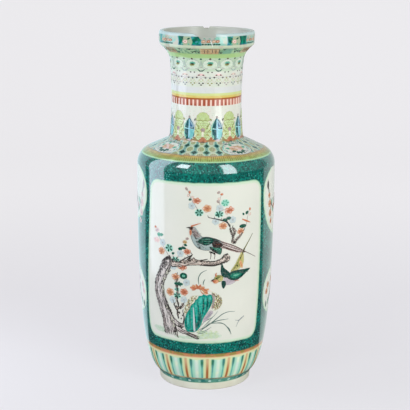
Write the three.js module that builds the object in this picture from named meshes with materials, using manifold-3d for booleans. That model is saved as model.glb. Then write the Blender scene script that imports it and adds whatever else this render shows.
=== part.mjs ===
// A tall porcelain vase of rouleau form, thrown in sections that are luted together with slip.
// Millimetres, +Z up. The origin is the centre of the foot, on the surface that the vase stands on.
import * as THREE from 'three';
import { mergeVertices } from 'three/addons/utils/BufferGeometryUtils.js';
import Module from 'manifold-3d';

// Fineness of the turned shapes
const turnSteps = 48;

// Slip between two sections
const slipThickness = 0.6;

// Foot ring
const footRadius = 60;
const footRise = 10;
const footLean = 1;
const footBevel = 0.8;
const footWidth = 8;
const footHollowLean = 1.5;

// Base disc, whose rim shows above the foot
const baseThickness = 7.4;
const baseStepHeight = 2.5;
const baseStepOut = 1.5;

// Body
const bodyRadius = 88.8;
const bodyHeight = 278.2;
const bodyWall = 7;
const lowerBodyHeight = 146.4;
const straightWall = 30.7;
const swellReach = 9.8;
const swellRise = 12.2;
const bellyRise = 27.6;

// Shoulder
const shoulderRound = 22;
const shoulderSlope = THREE.MathUtils.degToRad(24);
const shoulderFillet = 4;
const collarRise = 2.6;

// Neck
const neckRootRadius = 46.8;
const neckWaistIn = 2.7;
const neckTopIn = 0.4;
const neckHeight = 88.5;
const neckWall = 6;
// Where the curve of the neck is steered, as shares of its height
const neckLowSteer = 0.28;
const neckHighSteer = 0.66;

// Mouth, which flares and then stands up as a lip
const mouthRadius = 60.6;
const flareRise = 22.6;
const flareStart = 9;
const flareEase = 0.5;
const flareSpread = 5.1;
const flareHeel = 5.6;
const lipHeight = 17.4;
const lipWall = 6.3;
const lipLean = 1;
const lipRound = 2;
const lipEaseRise = 2;
const lipFullRise = 7;
const flareLift = 4;

// Losses from the rim
const chipDepth = 8;
const chipLeftTop = -18.7;
const chipLeftFoot = -6.2;
const chipRightFoot = 10.2;
const chipRightTop = 11.4;
const nickDepth = 2.5;
const nickHalfWidth = 4.7;
const nickCentre = -0.8;
const nickFootShare = 0.6;

const neckWaistRadius = neckRootRadius - neckWaistIn;
const neckTopRadius = neckRootRadius - neckTopIn;

const point = (radius, height) => new THREE.Vector2(radius, height);

// A smooth run between two points of an outline, steered by two more
function curveRun(start, steerStart, steerEnd, end, steps) {
  return new THREE.CubicBezierCurve(start, steerStart, steerEnd, end).getPoints(steps);
}

// Heights where the sections meet, from the foot up
const footTop = footRise;
const baseBottom = footTop + slipThickness;
const baseTop = baseBottom + baseThickness;
const lowerBodyBottom = baseTop + slipThickness;
const lowerBodyTop = lowerBodyBottom + lowerBodyHeight;
const upperBodyBottom = lowerBodyTop + slipThickness;
const shoulderSpring = footRise + baseStepHeight + bodyHeight;
const upperBodyTop = shoulderSpring - slipThickness;
const shoulderBottom = shoulderSpring;

// The shoulder turns in on an arc, then runs straight up to the root of the neck
const arcCentre = bodyRadius - shoulderRound;
const arcTurn = Math.PI / 2 - shoulderSlope;
const slopeStart = point(
  arcCentre + shoulderRound * Math.cos(arcTurn),
  shoulderSpring + shoulderRound * Math.sin(arcTurn),
);
const slopeHeightAt = (radius) => slopeStart.y + (slopeStart.x - radius) * Math.tan(shoulderSlope);
const filletStart = point(
  neckRootRadius + shoulderFillet * Math.cos(shoulderSlope),
  slopeHeightAt(neckRootRadius + shoulderFillet * Math.cos(shoulderSlope)),
);
const neckRoot = slopeHeightAt(neckRootRadius) + shoulderFillet;
const shoulderTop = neckRoot + collarRise;
const neckBottom = shoulderTop + slipThickness;
const neckTop = neckBottom + neckHeight;
const mouthBottom = neckTop + slipThickness;
const flareTop = mouthBottom + flareRise;
const lipTop = flareTop + lipHeight;

function shoulderArc(radius) {
  const points = [];
  const arcSteps = 5;
  for (let step = 0; step <= arcSteps; step += 1) {
    const angle = (arcTurn * step) / arcSteps;
    points.push(point(arcCentre + radius * Math.cos(angle), shoulderSpring + radius * Math.sin(angle)));
  }
  return points;
}

// The outside of the whole vase, from the foot to the outer edge of the lip
function outsideOutline() {
  const stepRadius = footRadius + footLean + baseStepOut;
  const stepHeight = footRise + baseStepHeight;
  const swell = curveRun(
    point(stepRadius, stepHeight),
    point(stepRadius + swellReach, stepHeight + swellRise),
    point(bodyRadius, stepHeight + bellyRise),
    point(bodyRadius, shoulderSpring - straightWall),
    18,
  );
  const root = curveRun(
    filletStart,
    point(neckRootRadius + shoulderFillet / 4, slopeHeightAt(neckRootRadius)),
    point(neckRootRadius, neckRoot - shoulderFillet / 2),
    point(neckRootRadius, neckRoot),
    4,
  );
  const neck = curveRun(
    point(neckRootRadius, neckRoot),
    point(neckWaistRadius, neckRoot + neckHeight * neckLowSteer),
    point(neckWaistRadius, neckRoot + neckHeight * neckHighSteer),
    point(neckTopRadius, mouthBottom),
    9,
  );
  const flare = curveRun(
    point(neckTopRadius, mouthBottom),
    point(neckTopRadius + flareEase, mouthBottom + flareStart),
    point(neckTopRadius + flareSpread, flareTop - flareHeel),
    point(mouthRadius - lipLean, flareTop),
    8,
  );
  const lip = [
    point(mouthRadius - lipLean / 3, flareTop + lipEaseRise),
    point(mouthRadius, flareTop + lipFullRise),
    point(mouthRadius, lipTop - 2 * lipRound),
    point(mouthRadius - lipRound / 3, lipTop - lipRound * 0.7),
    point(mouthRadius - lipRound, lipTop),
  ];
  return [
    point(footRadius - footBevel, 0),
    point(footRadius, footBevel),
    point(footRadius + footLean, footRise),
    ...swell,
    ...shoulderArc(shoulderRound),
    ...root,
    ...neck.slice(1),
    ...flare.slice(1),
    ...lip,
  ];
}

// The inside, from the floor to the inner edge of the lip
function insideOutline(outside) {
  const inner = [];
  for (const corner of outside) {
    if (corner.y > lowerBodyBottom && corner.y < shoulderSpring) {
      inner.push(point(corner.x - bodyWall, corner.y));
    }
  }
  const floorRadius = radiusAt(outside, lowerBodyBottom) - bodyWall;
  const innerSlope = point(
    arcCentre + (shoulderRound - bodyWall) * Math.cos(arcTurn),
    shoulderSpring + (shoulderRound - bodyWall) * Math.sin(arcTurn),
  );
  const throatRadius = neckRootRadius - neckWall;
  const throatHeight = innerSlope.y + (innerSlope.x - throatRadius) * Math.tan(shoulderSlope);
  const flare = curveRun(
    point(neckTopRadius - neckWall, mouthBottom + flareLift),
    point(neckTopRadius + flareEase - neckWall, mouthBottom + flareStart + flareLift),
    point(neckTopRadius + flareSpread - neckWall, flareTop - flareHeel + flareLift),
    point(mouthRadius - lipLean - lipWall, flareTop + flareLift),
    7,
  );
  const neckInside = outside.filter((corner) => corner.y > neckRoot && corner.y < mouthBottom);
  return [
    point(floorRadius, lowerBodyBottom),
    ...inner,
    ...shoulderArc(shoulderRound - bodyWall),
    point(throatRadius, throatHeight),
    ...neckInside.map((corner) => point(corner.x - neckWall, corner.y)),
    ...flare,
    point(mouthRadius - lipWall, lipTop - lipRound / 2),
    point(mouthRadius - lipWall + lipRound / 2, lipTop),
  ];
}

// The radius of an outline at one height
function radiusAt(outline, height) {
  for (let index = 1; index < outline.length; index += 1) {
    const below = outline[index - 1];
    const above = outline[index];
    if (height >= below.y && height <= above.y && above.y > below.y) {
      const share = (height - below.y) / (above.y - below.y);
      return below.x + share * (above.x - below.x);
    }
  }
  return outline[outline.length - 1].x;
}

// The part of an outline between two heights, with its ends exactly on them
function cutOutline(outline, bottom, top) {
  const clearance = 0.05;
  const between = outline.filter((corner) => corner.y > bottom + clearance && corner.y < top - clearance);
  return [point(radiusAt(outline, bottom), bottom), ...between, point(radiusAt(outline, top), top)];
}

const outside = outsideOutline();
const inside = insideOutline(outside);

// Turns a closed outline, given up the outside and down the inside, around the vase's axis
function turn(outline) {
  return new THREE.LatheGeometry([...outline, outline[0]], turnSteps);
}

function wallBetween(bottom, top) {
  return turn([...cutOutline(outside, bottom, top), ...cutOutline(inside, bottom, top).reverse()]);
}

function footRing() {
  const outer = cutOutline(outside, 0, footTop);
  const innerTop = footRadius + footLean - footWidth - footHollowLean;
  const innerBottom = footRadius - footWidth;
  return turn([...outer, point(innerTop, footTop), point(innerBottom, 0)]);
}

function footSlip() {
  const outer = cutOutline(outside, footTop, baseBottom);
  const inner = footRadius + footLean - footWidth - footHollowLean;
  return turn([...outer, point(inner, baseBottom), point(inner, footTop)]);
}

function baseDisc() {
  const outer = cutOutline(outside, baseBottom, baseTop);
  return new THREE.LatheGeometry([point(0, baseBottom), ...outer, point(0, baseTop)], turnSteps);
}

function baseSlip() {
  const outer = cutOutline(outside, baseTop, lowerBodyBottom);
  const inner = radiusAt(inside, lowerBodyBottom);
  return turn([...outer, point(inner, lowerBodyBottom), point(inner, baseTop)]);
}

// A prism across the front or back wall of the mouth, drawn as seen from that side
function biteBlock(corners, front) {
  const shape = new THREE.Shape(corners.map(([across, height]) => point(across, height)));
  const block = new THREE.ExtrudeGeometry(shape, { depth: mouthRadius, bevelEnabled: false });
  block.rotateX(Math.PI / 2);
  if (!front) {
    block.translate(0, mouthRadius, 0);
  }
  return block;
}

// Beyond the lip, so that a bite leaves no skin at the top
const biteReach = 4;

function frontChip() {
  const rise = lipTop + biteReach;
  const leftSlope = (chipLeftTop - chipLeftFoot) / chipDepth;
  const rightSlope = (chipRightTop - chipRightFoot) / chipDepth;
  return biteBlock([
    [chipLeftFoot, lipTop - chipDepth],
    [chipRightFoot, lipTop - chipDepth],
    [chipRightTop + rightSlope * biteReach, rise],
    [chipLeftTop + leftSlope * biteReach, rise],
  ], true);
}

function backNick() {
  const rise = lipTop + biteReach;
  const footHalfWidth = nickHalfWidth * nickFootShare;
  const spread = ((nickHalfWidth - footHalfWidth) / nickDepth) * biteReach;
  return biteBlock([
    [nickCentre - footHalfWidth, lipTop - nickDepth],
    [nickCentre + footHalfWidth, lipTop - nickDepth],
    [nickCentre + nickHalfWidth + spread, rise],
    [nickCentre - nickHalfWidth - spread, rise],
  ], false);
}

const wasm = await Module();
wasm.setup();

function toSolid(geometry) {
  const bare = geometry.clone();
  bare.deleteAttribute('normal');
  bare.deleteAttribute('uv');
  const merged = mergeVertices(bare, 1e-4);
  return new wasm.Manifold(new wasm.Mesh({
    numProp: 3,
    vertProperties: merged.attributes.position.array,
    triVerts: Uint32Array.from(merged.index.array),
  }));
}

function toGeometry(solid) {
  const mesh = solid.getMesh();
  const geometry = new THREE.BufferGeometry();
  geometry.setAttribute('position', new THREE.BufferAttribute(mesh.vertProperties, 3));
  geometry.setIndex(new THREE.BufferAttribute(mesh.triVerts, 1));
  geometry.computeVertexNormals();
  return geometry;
}

// A lathe turns about Y, and this vase stands along Z
function stand(geometry) {
  geometry.rotateX(Math.PI / 2);
  return geometry;
}

function mouthRim() {
  const whole = toSolid(stand(wallBetween(mouthBottom, lipTop)));
  return toGeometry(whole.subtract(toSolid(frontChip())).subtract(toSolid(backNick())));
}

const glazed = (color, roughness = 0.15) => ({ color, roughness, metalness: 0 });
const bareClay = { color: 0xd9d2c4, roughness: 0.8, metalness: 0 };
const slip = { color: 0xe6e0d4, roughness: 0.6, metalness: 0 };

const vase = new THREE.Group();

function addPiece(name, geometry, finish) {
  const mesh = new THREE.Mesh(geometry, new THREE.MeshStandardMaterial(finish));
  mesh.name = name;
  vase.add(mesh);
}

addPiece('foot_ring', stand(footRing()), bareClay);
addPiece('foot_slip_joint', stand(footSlip()), slip);
addPiece('base_disc', stand(baseDisc()), glazed(0x8fb8a8));
addPiece('base_slip_joint', stand(baseSlip()), slip);
addPiece('lower_body', stand(wallBetween(lowerBodyBottom, lowerBodyTop)), glazed(0x3d9078));
addPiece('waist_slip_joint', stand(wallBetween(lowerBodyTop, upperBodyBottom)), slip);
addPiece('upper_body', stand(wallBetween(upperBodyBottom, upperBodyTop)), glazed(0x2f8a70));
addPiece('shoulder_slip_joint', stand(wallBetween(upperBodyTop, shoulderBottom)), slip);
addPiece('shoulder', stand(wallBetween(shoulderBottom, shoulderTop)), glazed(0x9fb37c));
addPiece('neck_slip_joint', stand(wallBetween(shoulderTop, neckBottom)), slip);
addPiece('neck', stand(wallBetween(neckBottom, neckTop)), glazed(0xd3dccd));
addPiece('mouth_slip_joint', stand(wallBetween(neckTop, mouthBottom)), slip);
addPiece('mouth_rim', mouthRim(), glazed(0xbfd3b4));

export default vase;
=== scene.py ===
# %% [markdown]
# # A tall porcelain vase, painted in green enamels
# The vase is turned, so nearly every surface here is one outline carried round an axis.
# Its pictures are enamels that stand a little proud of the glaze, so they are thin raised meshes,
# while the ornamental bands are worked out in the materials from the angle and the height of a point.

# %% Load the frame
import bpy
import math
import numpy as np
from mathutils import Euler, Matrix, Vector


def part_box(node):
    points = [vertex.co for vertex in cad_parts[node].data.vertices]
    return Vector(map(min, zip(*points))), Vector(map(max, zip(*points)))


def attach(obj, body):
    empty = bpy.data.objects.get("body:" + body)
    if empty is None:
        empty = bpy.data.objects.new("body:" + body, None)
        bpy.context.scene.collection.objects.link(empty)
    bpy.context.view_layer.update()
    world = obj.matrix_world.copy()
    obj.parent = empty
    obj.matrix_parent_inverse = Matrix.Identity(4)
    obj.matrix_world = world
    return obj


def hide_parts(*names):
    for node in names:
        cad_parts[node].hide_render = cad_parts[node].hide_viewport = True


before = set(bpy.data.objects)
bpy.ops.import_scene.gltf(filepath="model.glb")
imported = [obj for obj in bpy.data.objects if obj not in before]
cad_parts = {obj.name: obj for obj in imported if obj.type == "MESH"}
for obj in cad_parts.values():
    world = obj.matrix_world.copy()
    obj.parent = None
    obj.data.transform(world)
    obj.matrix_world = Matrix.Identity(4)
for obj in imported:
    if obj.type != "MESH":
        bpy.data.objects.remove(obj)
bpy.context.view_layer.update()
MM = 0.001
print("nodes:", ", ".join(sorted(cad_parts)))

# %% [markdown]
# ## Camera
# The photograph looks a little down on the vase from about a metre and a half away. A long lens at the
# same distance gives the same roundness of the rim and the foot, which a distant lens would flatten.

# %% Camera
camera_distance = 1.5129
camera_height = 0.5845
camera_pitch = 13.084
camera_roll = 0.39
camera_lens = 104.4
camera_turn = 0.04

camera_data = bpy.data.cameras.new("camera")
camera_data.lens = camera_lens
camera_data.sensor_width = 36
camera = bpy.data.objects.new("camera", camera_data)
camera.location = (0, -camera_distance, camera_height)
camera.rotation_mode = "XYZ"
look = (
    (np.radians(90 - camera_pitch), 0, np.radians(camera_turn)),
    np.radians(camera_roll),
)
camera.rotation_euler = (Euler(look[0]).to_matrix() @ Matrix.Rotation(look[1], 3, "Z")).to_euler()
bpy.context.collection.objects.link(camera)
bpy.context.scene.camera = camera
print("camera at", tuple(round(v, 3) for v in camera.location))

# %% [markdown]
# ## The outline
# A thrown pot is drawn as one outline from the foot to the lip. The straight parts are points, and the
# swelling parts are cubic curves, so that the profile has no flats in it. The seams between the thrown
# sections come from the frame, and everything else is in millimetres.

# %% Outline of the outside and the inside
foot_radius, foot_rise, foot_bevel = 60.0, 10.0, 0.8
step_radius, step_height = 62.5, 12.5
body_radius, shoulder_spring, straight_wall = 88.8, 290.7, 30.7
shoulder_round, shoulder_slope = 22.0, math.radians(24)
neck_root, neck_radius, neck_waist, neck_top = 327.7, 46.8, 44.1, 46.4
mouth_bottom, flare_top, lip_top, mouth_radius = 420.0, 442.6, 460.0, 60.6
body_wall, neck_wall, lip_wall, flare_lift = 7.0, 6.0, 6.3, 4.0


def curve(start, steer_start, steer_end, end, count):
    """Cubic curve: the four points weighted by (1-t)^3, 3(1-t)^2 t, 3(1-t) t^2 and t^3."""
    t = np.linspace(0, 1, count)[:, None]
    a, b, c, d = (np.array(p, float) for p in (start, steer_start, steer_end, end))
    return (1 - t) ** 3 * a + 3 * (1 - t) ** 2 * t * b + 3 * (1 - t) * t * t * c + t ** 3 * d


def arc(centre, radius, first, last, count):
    """Points at equal angles on a circle: centre + radius * (cos, sin)."""
    turn = np.linspace(first, last, count)
    return np.stack([centre[0] + radius * np.cos(turn), centre[1] + radius * np.sin(turn)], 1)


arc_centre = (body_radius - shoulder_round, shoulder_spring)
arc_turn = math.pi / 2 - shoulder_slope


def slope_height(radius):
    """Height of the straight shoulder at a radius: the arc's end plus tan(slope) times the run inwards."""
    end = (arc_centre[0] + shoulder_round * math.cos(arc_turn),
        shoulder_spring + shoulder_round * math.sin(arc_turn))
    return end[1] + (end[0] - radius) * math.tan(shoulder_slope)


def swelling_wall(count):
    """The outside of the body from the step above the foot to where the wall grows straight."""
    return curve((step_radius, step_height), (step_radius + 9.8, step_height + 12.2),
                 (body_radius, step_height + 27.6), (body_radius, shoulder_spring - straight_wall), count)


def outside_points():
    """The outside from the foot to the outer edge of the lip, as (radius, height) rows."""
    fillet = neck_radius + 3.65
    parts = [
        [(foot_radius - foot_bevel, 0), (foot_radius, foot_bevel), (foot_radius + 1, foot_rise)],
        swelling_wall(90),
        arc(arc_centre, shoulder_round, 0, arc_turn, 26),
        curve((fillet, slope_height(fillet)), (neck_radius + 1, slope_height(neck_radius)),
              (neck_radius, neck_root - 2), (neck_radius, neck_root), 9),
        curve((neck_radius, neck_root), (neck_waist, neck_root + 24.8),
              (neck_waist, neck_root + 58.4), (neck_top, mouth_bottom), 44)[1:],
        curve((neck_top, mouth_bottom), (neck_top + 0.5, mouth_bottom + 9),
              (neck_top + 5.1, flare_top - 5.6), (mouth_radius - 1, flare_top), 24)[1:],
        curve((mouth_radius - 0.6, flare_top + 1.2), (mouth_radius, flare_top + 4),
              (mouth_radius, flare_top + 7), (mouth_radius, flare_top + 10), 6),
        arc((mouth_radius - 2.4, lip_top - 2.4), 2.4, 0, math.pi / 2, 8),
    ]
    return np.concatenate([np.array(p, float) for p in parts])


def inside_points():
    """The inside from the floor to the inner edge of the lip, a wall's thickness within the outside."""
    swell = swelling_wall(40)
    swell = swell[swell[:, 1] > 19] - (body_wall, 0)
    end = (arc_centre[0] + (shoulder_round - body_wall) * math.cos(arc_turn),
           shoulder_spring + (shoulder_round - body_wall) * math.sin(arc_turn))
    throat = neck_radius - neck_wall
    throat_height = end[1] + (end[0] - throat) * math.tan(shoulder_slope)
    parts = [[(swell[0, 0] - 3, 18.6)], swell, arc(arc_centre, shoulder_round - body_wall, 0, arc_turn, 12),
        curve((throat + 5, throat_height - 2.2), (throat + 1, throat_height - 0.4),
        (throat, throat_height + 1), (throat - 0.3, throat_height + 5), 6),
        curve((throat - 0.5, throat_height + 8), (neck_waist - neck_wall, neck_root + 24.8),
        (neck_waist - neck_wall, neck_root + 58.4), (neck_top - neck_wall, mouth_bottom + flare_lift), 16),
        curve((neck_top - neck_wall, mouth_bottom + flare_lift),
        (neck_top + 0.5 - neck_wall, mouth_bottom + 13), (neck_top + 5.1 - neck_wall, flare_top - 1.6),
        (mouth_radius - 1 - lip_wall, flare_top + flare_lift), 16)[1:],
        arc((mouth_radius - lip_wall + 1.8, lip_top - 1.8), 1.8, math.pi, math.pi / 2, 6),]
    return np.concatenate([np.array(p, float) for p in parts])


outside = outside_points()
inside = inside_points()
print("outline points: outside", len(outside), "inside", len(inside))

# %% [markdown]
# ## Seams
# The vase was thrown in sections and luted with slip. Each section is one piece here too. A section runs
# to the middle of the slip above and below it, because the glaze covers the seam on the outside.

# %% Seam heights from the frame


def middle(node):
    """The middle height of a slip joint, in millimetres."""
    low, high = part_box(node)
    return (low.z + high.z) / 2 / MM


seams = {name: middle(name + "_slip_joint") for name in ("foot", "base", "waist", "shoulder", "neck",
    "mouth")}
print("seams in mm:", {name: round(height, 1) for name, height in seams.items()})


def cut(outline, bottom, top):
    """The stretch of an outline between two heights, with its ends interpolated onto them."""
    radius = np.interp([bottom, top], outline[:, 1], outline[:, 0])
    keep = (outline[:, 1] > bottom + 0.05) & (outline[:, 1] < top - 0.05)
    return np.concatenate([[(radius[0], bottom)], outline[keep], [(radius[1], top)]])


# %% [markdown]
# ## Turning
# A turned surface takes two parameters, the place along the outline and the angle round the axis. The
# point at radius r and height z goes to (r sin a, -r cos a, z), so an angle of zero faces the camera.

# %% Meshes from grids


def new_object(name, points, quads, triangles=()):
    """A mesh object from arrays: points in millimetres, faces as rows of point numbers."""
    mesh = bpy.data.meshes.new(name)
    mesh.from_pydata((np.asarray(points) * MM).tolist(), [],
        [list(f) for f in quads] + [list(f) for f in triangles])
    mesh.update()
    mesh.polygons.foreach_set("use_smooth", np.ones(len(mesh.polygons), bool))
    mesh.set_sharp_from_angle(angle=math.radians(50))
    made = bpy.data.objects.new(name, mesh)
    bpy.context.collection.objects.link(made)
    return made


def turned(name, outline, columns=288, on_axis=False):
    """A closed ring of revolution: row i of the outline and column j of the turn make a grid of quads. With
    on_axis the outline starts and ends on the axis, and each end is one point with a fan of triangles."""
    turn = np.linspace(0, 2 * np.pi, columns, endpoint=False) + np.pi
    ring = outline[1:-1] if on_axis else outline
    radius, height = ring[:, :1], ring[:, 1:]
    grid = np.stack([radius * np.sin(turn), -radius * np.cos(turn), height + 0 * turn], -1).reshape(-1, 3)
    rows = len(ring) - 1 if on_axis else len(ring)
    i = np.arange(rows)[:, None]
    j = np.arange(columns)[None]
    up, side = (i + 1) % len(ring), (j + 1) % columns
    quads = np.stack([i * columns + j, i * columns + side, up * columns + side, up * columns + j],
        -1).reshape(-1, 4)
    if not on_axis:
        return new_object(name, grid, quads.tolist())
    first, last = len(grid), len(grid) + 1
    poles = [(0, 0, outline[0, 1]), (0, 0, outline[-1, 1])]
    j, side = j[0], side[0]
    lower = np.stack([first + 0 * j, side, j], -1)
    upper = np.stack([last + 0 * j, (len(ring) - 1) * columns + j, (len(ring) - 1) * columns + side], -1)
    return new_object(name, np.concatenate([grid, poles]), quads.tolist(),
        np.concatenate([lower, upper]).tolist())


print("grid tools ready:", new_object.__name__, turned.__name__)

# %% [markdown]
# ## Writing a material as a sum
# A node material is a drawing, but an ornament is arithmetic. The class below wraps a socket, so that
# an expression such as 1 - mask * 0.5 adds the Math nodes that it needs.

# %% Wires and boards


def srgb(red, green, blue):
    """A screen colour from 0 to 255 as the linear colour that a shader takes."""
    c = np.array([red, green, blue]) / 255
    linear = np.where(c <= 0.04045, c / 12.92, ((c + 0.055) / 1.055) ** 2.4)
    return tuple(float(v) for v in linear) + (1.0,)


class Wire:
    """A number socket that can be added, multiplied and compared."""

    def __init__(self, board, socket):
        self.board, self.socket = board, socket

    def do(self, operation, *others):
        return self.board.math(operation, self, *others)

    def __add__(self, other):
        return self.do("ADD", other)

    __radd__ = __add__

    def __sub__(self, other):
        return self.do("SUBTRACT", other)

    def __rsub__(self, other):
        return self.board.math("SUBTRACT", other, self)

    def __mul__(self, other):
        return self.do("MULTIPLY", other)

    __rmul__ = __mul__

    def __truediv__(self, other):
        return self.do("DIVIDE", other)

    def __rtruediv__(self, other):
        return self.board.math("DIVIDE", other, self)

    def size(self):
        return self.do("ABSOLUTE")

    def wrap(self, low, high):
        return self.board.math("WRAP", self, high, low)

    def most(self, other):
        return self.do("MAXIMUM", other)

    def least(self, other):
        return self.do("MINIMUM", other)

    def above(self, edge, soft=0.3):
        """0 below the edge and 1 above it, with a smooth step of width 2 * soft."""
        made = self.board.node("ShaderNodeMapRange", {"interpolation_type": "SMOOTHSTEP"},
                               {"Value": self, "From Min": edge - soft, "From Max": edge + soft})
        return Wire(self.board, made.outputs["Result"])

    def below(self, edge, soft=0.3):
        return 1 - self.above(edge, soft)

    def between(self, low, high, soft=0.3):
        return self.above(low, soft) * self.below(high, soft)


class Board:
    """The nodes of one material, with the angle, height and radius of the shaded point already on it."""

    def __init__(self, name):
        self.material = bpy.data.materials.new(name)
        self.material.use_nodes = True
        self.tree = self.material.node_tree
        self.shader = self.tree.nodes["Principled BSDF"]
        self.place = self.node("ShaderNodeTexCoord", {}, {}).outputs["Object"]
        split = self.node("ShaderNodeSeparateXYZ", {}, {"Vector": self.place})
        x, y, z = (Wire(self, split.outputs[axis]) for axis in "XYZ")
        self.angle = self.math("ARCTAN2", x, y * -1) * math.degrees(1)
        self.height = z / MM
        self.radius = (x * x + y * y).do("SQRT") / MM

    def node(self, kind, settings, inputs):
        """One node: its settings first, then the values or links of its sockets by name or number."""
        made = self.tree.nodes.new(kind)
        for key, value in settings.items():
            setattr(made, key, value)
        for key, value in inputs.items():
            socket = made.inputs[key]
            if isinstance(value, Wire):
                self.tree.links.new(value.socket, socket)
            elif isinstance(value, bpy.types.NodeSocket):
                self.tree.links.new(value, socket)
            else:
                socket.default_value = value
        return made

    def math(self, operation, *values):
        """One Math node."""
        made = self.node("ShaderNodeMath", {"operation": operation}, dict(enumerate(values)))
        return Wire(self, made.outputs[0])

    def mix(self, share, first, second):
        """Colour mix: first where share is 0 and second where it is 1. A tuple is a screen colour."""
        first, second = (srgb(*tone) if isinstance(tone, tuple) else tone for tone in (first, second))
        made = self.node("ShaderNodeMix", {"data_type": "RGBA"}, {"Factor": share, 6: first, 7: second})
        return made.outputs[2]

    def coats(self, colour, *masked):
        """Colours laid one over another, each where its mask is 1."""
        for share, over in masked:
            colour = self.mix(share, colour, over)
        return colour

    def noise(self, scale, detail):
        """Soft clouds, about 0.5 on average."""
        made = self.node("ShaderNodeTexNoise", {}, {"Vector": self.place, "Scale": scale, "Detail": detail})
        return Wire(self, made.outputs["Fac"])

    def cells(self, scale, jitter=1.0):
        """Distance from the nearest of many scattered points."""
        made = self.node("ShaderNodeTexVoronoi", {}, {"Vector": self.place, "Scale": scale,
            "Randomness": jitter})
        return Wire(self, made.outputs["Distance"])

    def feed(self, name, value):
        """Gives one socket of the shader a number or a wire."""
        if isinstance(value, Wire):
            self.tree.links.new(value.socket, self.shader.inputs[name])
        else:
            self.shader.inputs[name].default_value = value

    def finish(self, colour, roughness=0.16, enamel=0.0, bump=None, depth=0.0001):
        """Sends the worked-out colour to the shader. Enamel is where the lead glass lies, which shines more
        than the porcelain's own glaze, and bump is a faint swell in the surface."""
        sockets = self.shader.inputs
        self.tree.links.new(colour, sockets["Base Color"])
        self.feed("Roughness", roughness)
        self.feed("Coat Weight", enamel)
        self.feed("Coat Roughness", 0.06)
        self.feed("Coat IOR", 1.8)
        if bump is not None:
            made = self.node("ShaderNodeBump", {}, {"Height": bump, "Distance": depth, "Strength": 0.5})
            self.tree.links.new(made.outputs[0], sockets["Normal"])
        return self.material


print("shader helpers ready")

# %% [markdown]
# ## The porcelain itself
# Under the enamels lies a hard white body with a thin clear glaze. The glaze is never quite even: it
# pools a little greyer and greener, and its surface swells slightly, which breaks up reflections.

# %% Plain glaze and the broken edge


def white_glaze(board, tone=(230, 226, 213), shade=(222, 221, 207)):
    """A white that drifts slowly between two tones."""
    return board.mix(board.noise(14, 3).above(0.5, 0.3), tone, shade)


def make_inner_glaze_painted_shade():
    """The inside glaze, darker and greyer than the outside: painted shade where the vase is hollow."""
    board = Board("inner_glaze_painted_shade")
    colour = white_glaze(board, (205, 203, 192), (186, 188, 174))
    return board.finish(colour, 0.3, bump=board.noise(60, 2), depth=0.0002)





def make_fracture():
    """Bare grainy clay where the lip has broken."""
    board = Board("broken_edge")
    grain = board.noise(700, 4)
    colour = board.mix(grain.above(0.5, 0.25), (214, 208, 194), (168, 160, 146))
    return board.finish(colour, 0.85, bump=grain, depth=0.0004)


# the inside glaze is painted darker than the outside, as painted shade in the hollow and under the base
inner_glaze_painted_shade = make_inner_glaze_painted_shade()
fracture = make_fracture()
print("porcelain materials:", inner_glaze_painted_shade.name, fracture.name)

# %% [markdown]
# ## The body's ground
# Between the white panels the body is covered with deep green enamel, stippled with small black rings.
# Panels and side reserves are rounded shapes. Each has a distance that is negative inside it, so that
# one number gives its field, its pale border and its painted outline.

# %% Green ground, panels and reserves
mm_per_degree = body_radius * math.pi / 180
panel_middle, panel_half_width, panel_half_height, panel_corner = 176.0, 76.9, 102.4, 12.0
upper_reserve, lower_reserve = 260.0, 125.5


def rounded_box(across, up, half_width, half_height, corner):
    """Distance outside a rectangle with round corners: length(max(q, 0)) + min(max(qx, qy), 0) - corner."""
    qx = across.size() - (half_width - corner)
    qy = up.size() - (half_height - corner)
    px, py = qx.most(0), qy.most(0)
    return (px * px + py * py).do("SQRT") + qx.most(qy).least(0) - corner


def green_ground(board):
    """Deep green stippled with black rings, dark blots and short pale flecks."""
    flecks = board.cells(330).below(0.26, 0.06) * board.noise(150, 2).above(0.5, 0.06)
    return board.coats(
        (0, 99, 88),
        (board.noise(60, 3).above(0.5, 0.2), (8, 135, 117)),
        (board.cells(430).between(0.22, 0.5, 0.05) * 0.7, (0, 50, 52)),
        (board.noise(300, 2).above(0.56, 0.05) * 0.6, (0, 42, 44)),
        (flecks * 0.75, (96, 184, 172)))


def bulged(x, y, size, power=2.2):
    """Distance outside a shape between an ellipse and a box: ((x^p + y^p)^(1/p) - 1) * size."""
    return ((x.do("POWER", power) + y.do("POWER", power)).do("POWER", 1 / power) - 1) * size


def panel_field(board):
    """Distances from the tall front and back panels and from the two reserves on each side. The painter let
    the panel turn and widen a little towards the foot, which lean follows from 0 high up to 1 low down."""
    lean = ((275 - board.height) / 175).most(0).least(1)
    across = (board.angle.wrap(-90, 90) + lean * 3.6 + 0.7) * mm_per_degree
    panel = rounded_box(across - 1.1, board.height - panel_middle, panel_half_width + lean * 7.5,
                        panel_half_height, panel_corner)
    side = ((board.angle - 89).wrap(-90, 90) * mm_per_degree).size()
    rise = board.height - upper_reserve
    fall = 40 + board.angle.above(0) * 18
    upper = bulged(side / 50, (rise / 34).most(rise * -1 / fall), 42)
    lower = bulged(side / 42, (board.height - lower_reserve).size() / 32, 36)
    return panel.least(upper).least(lower)


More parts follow.
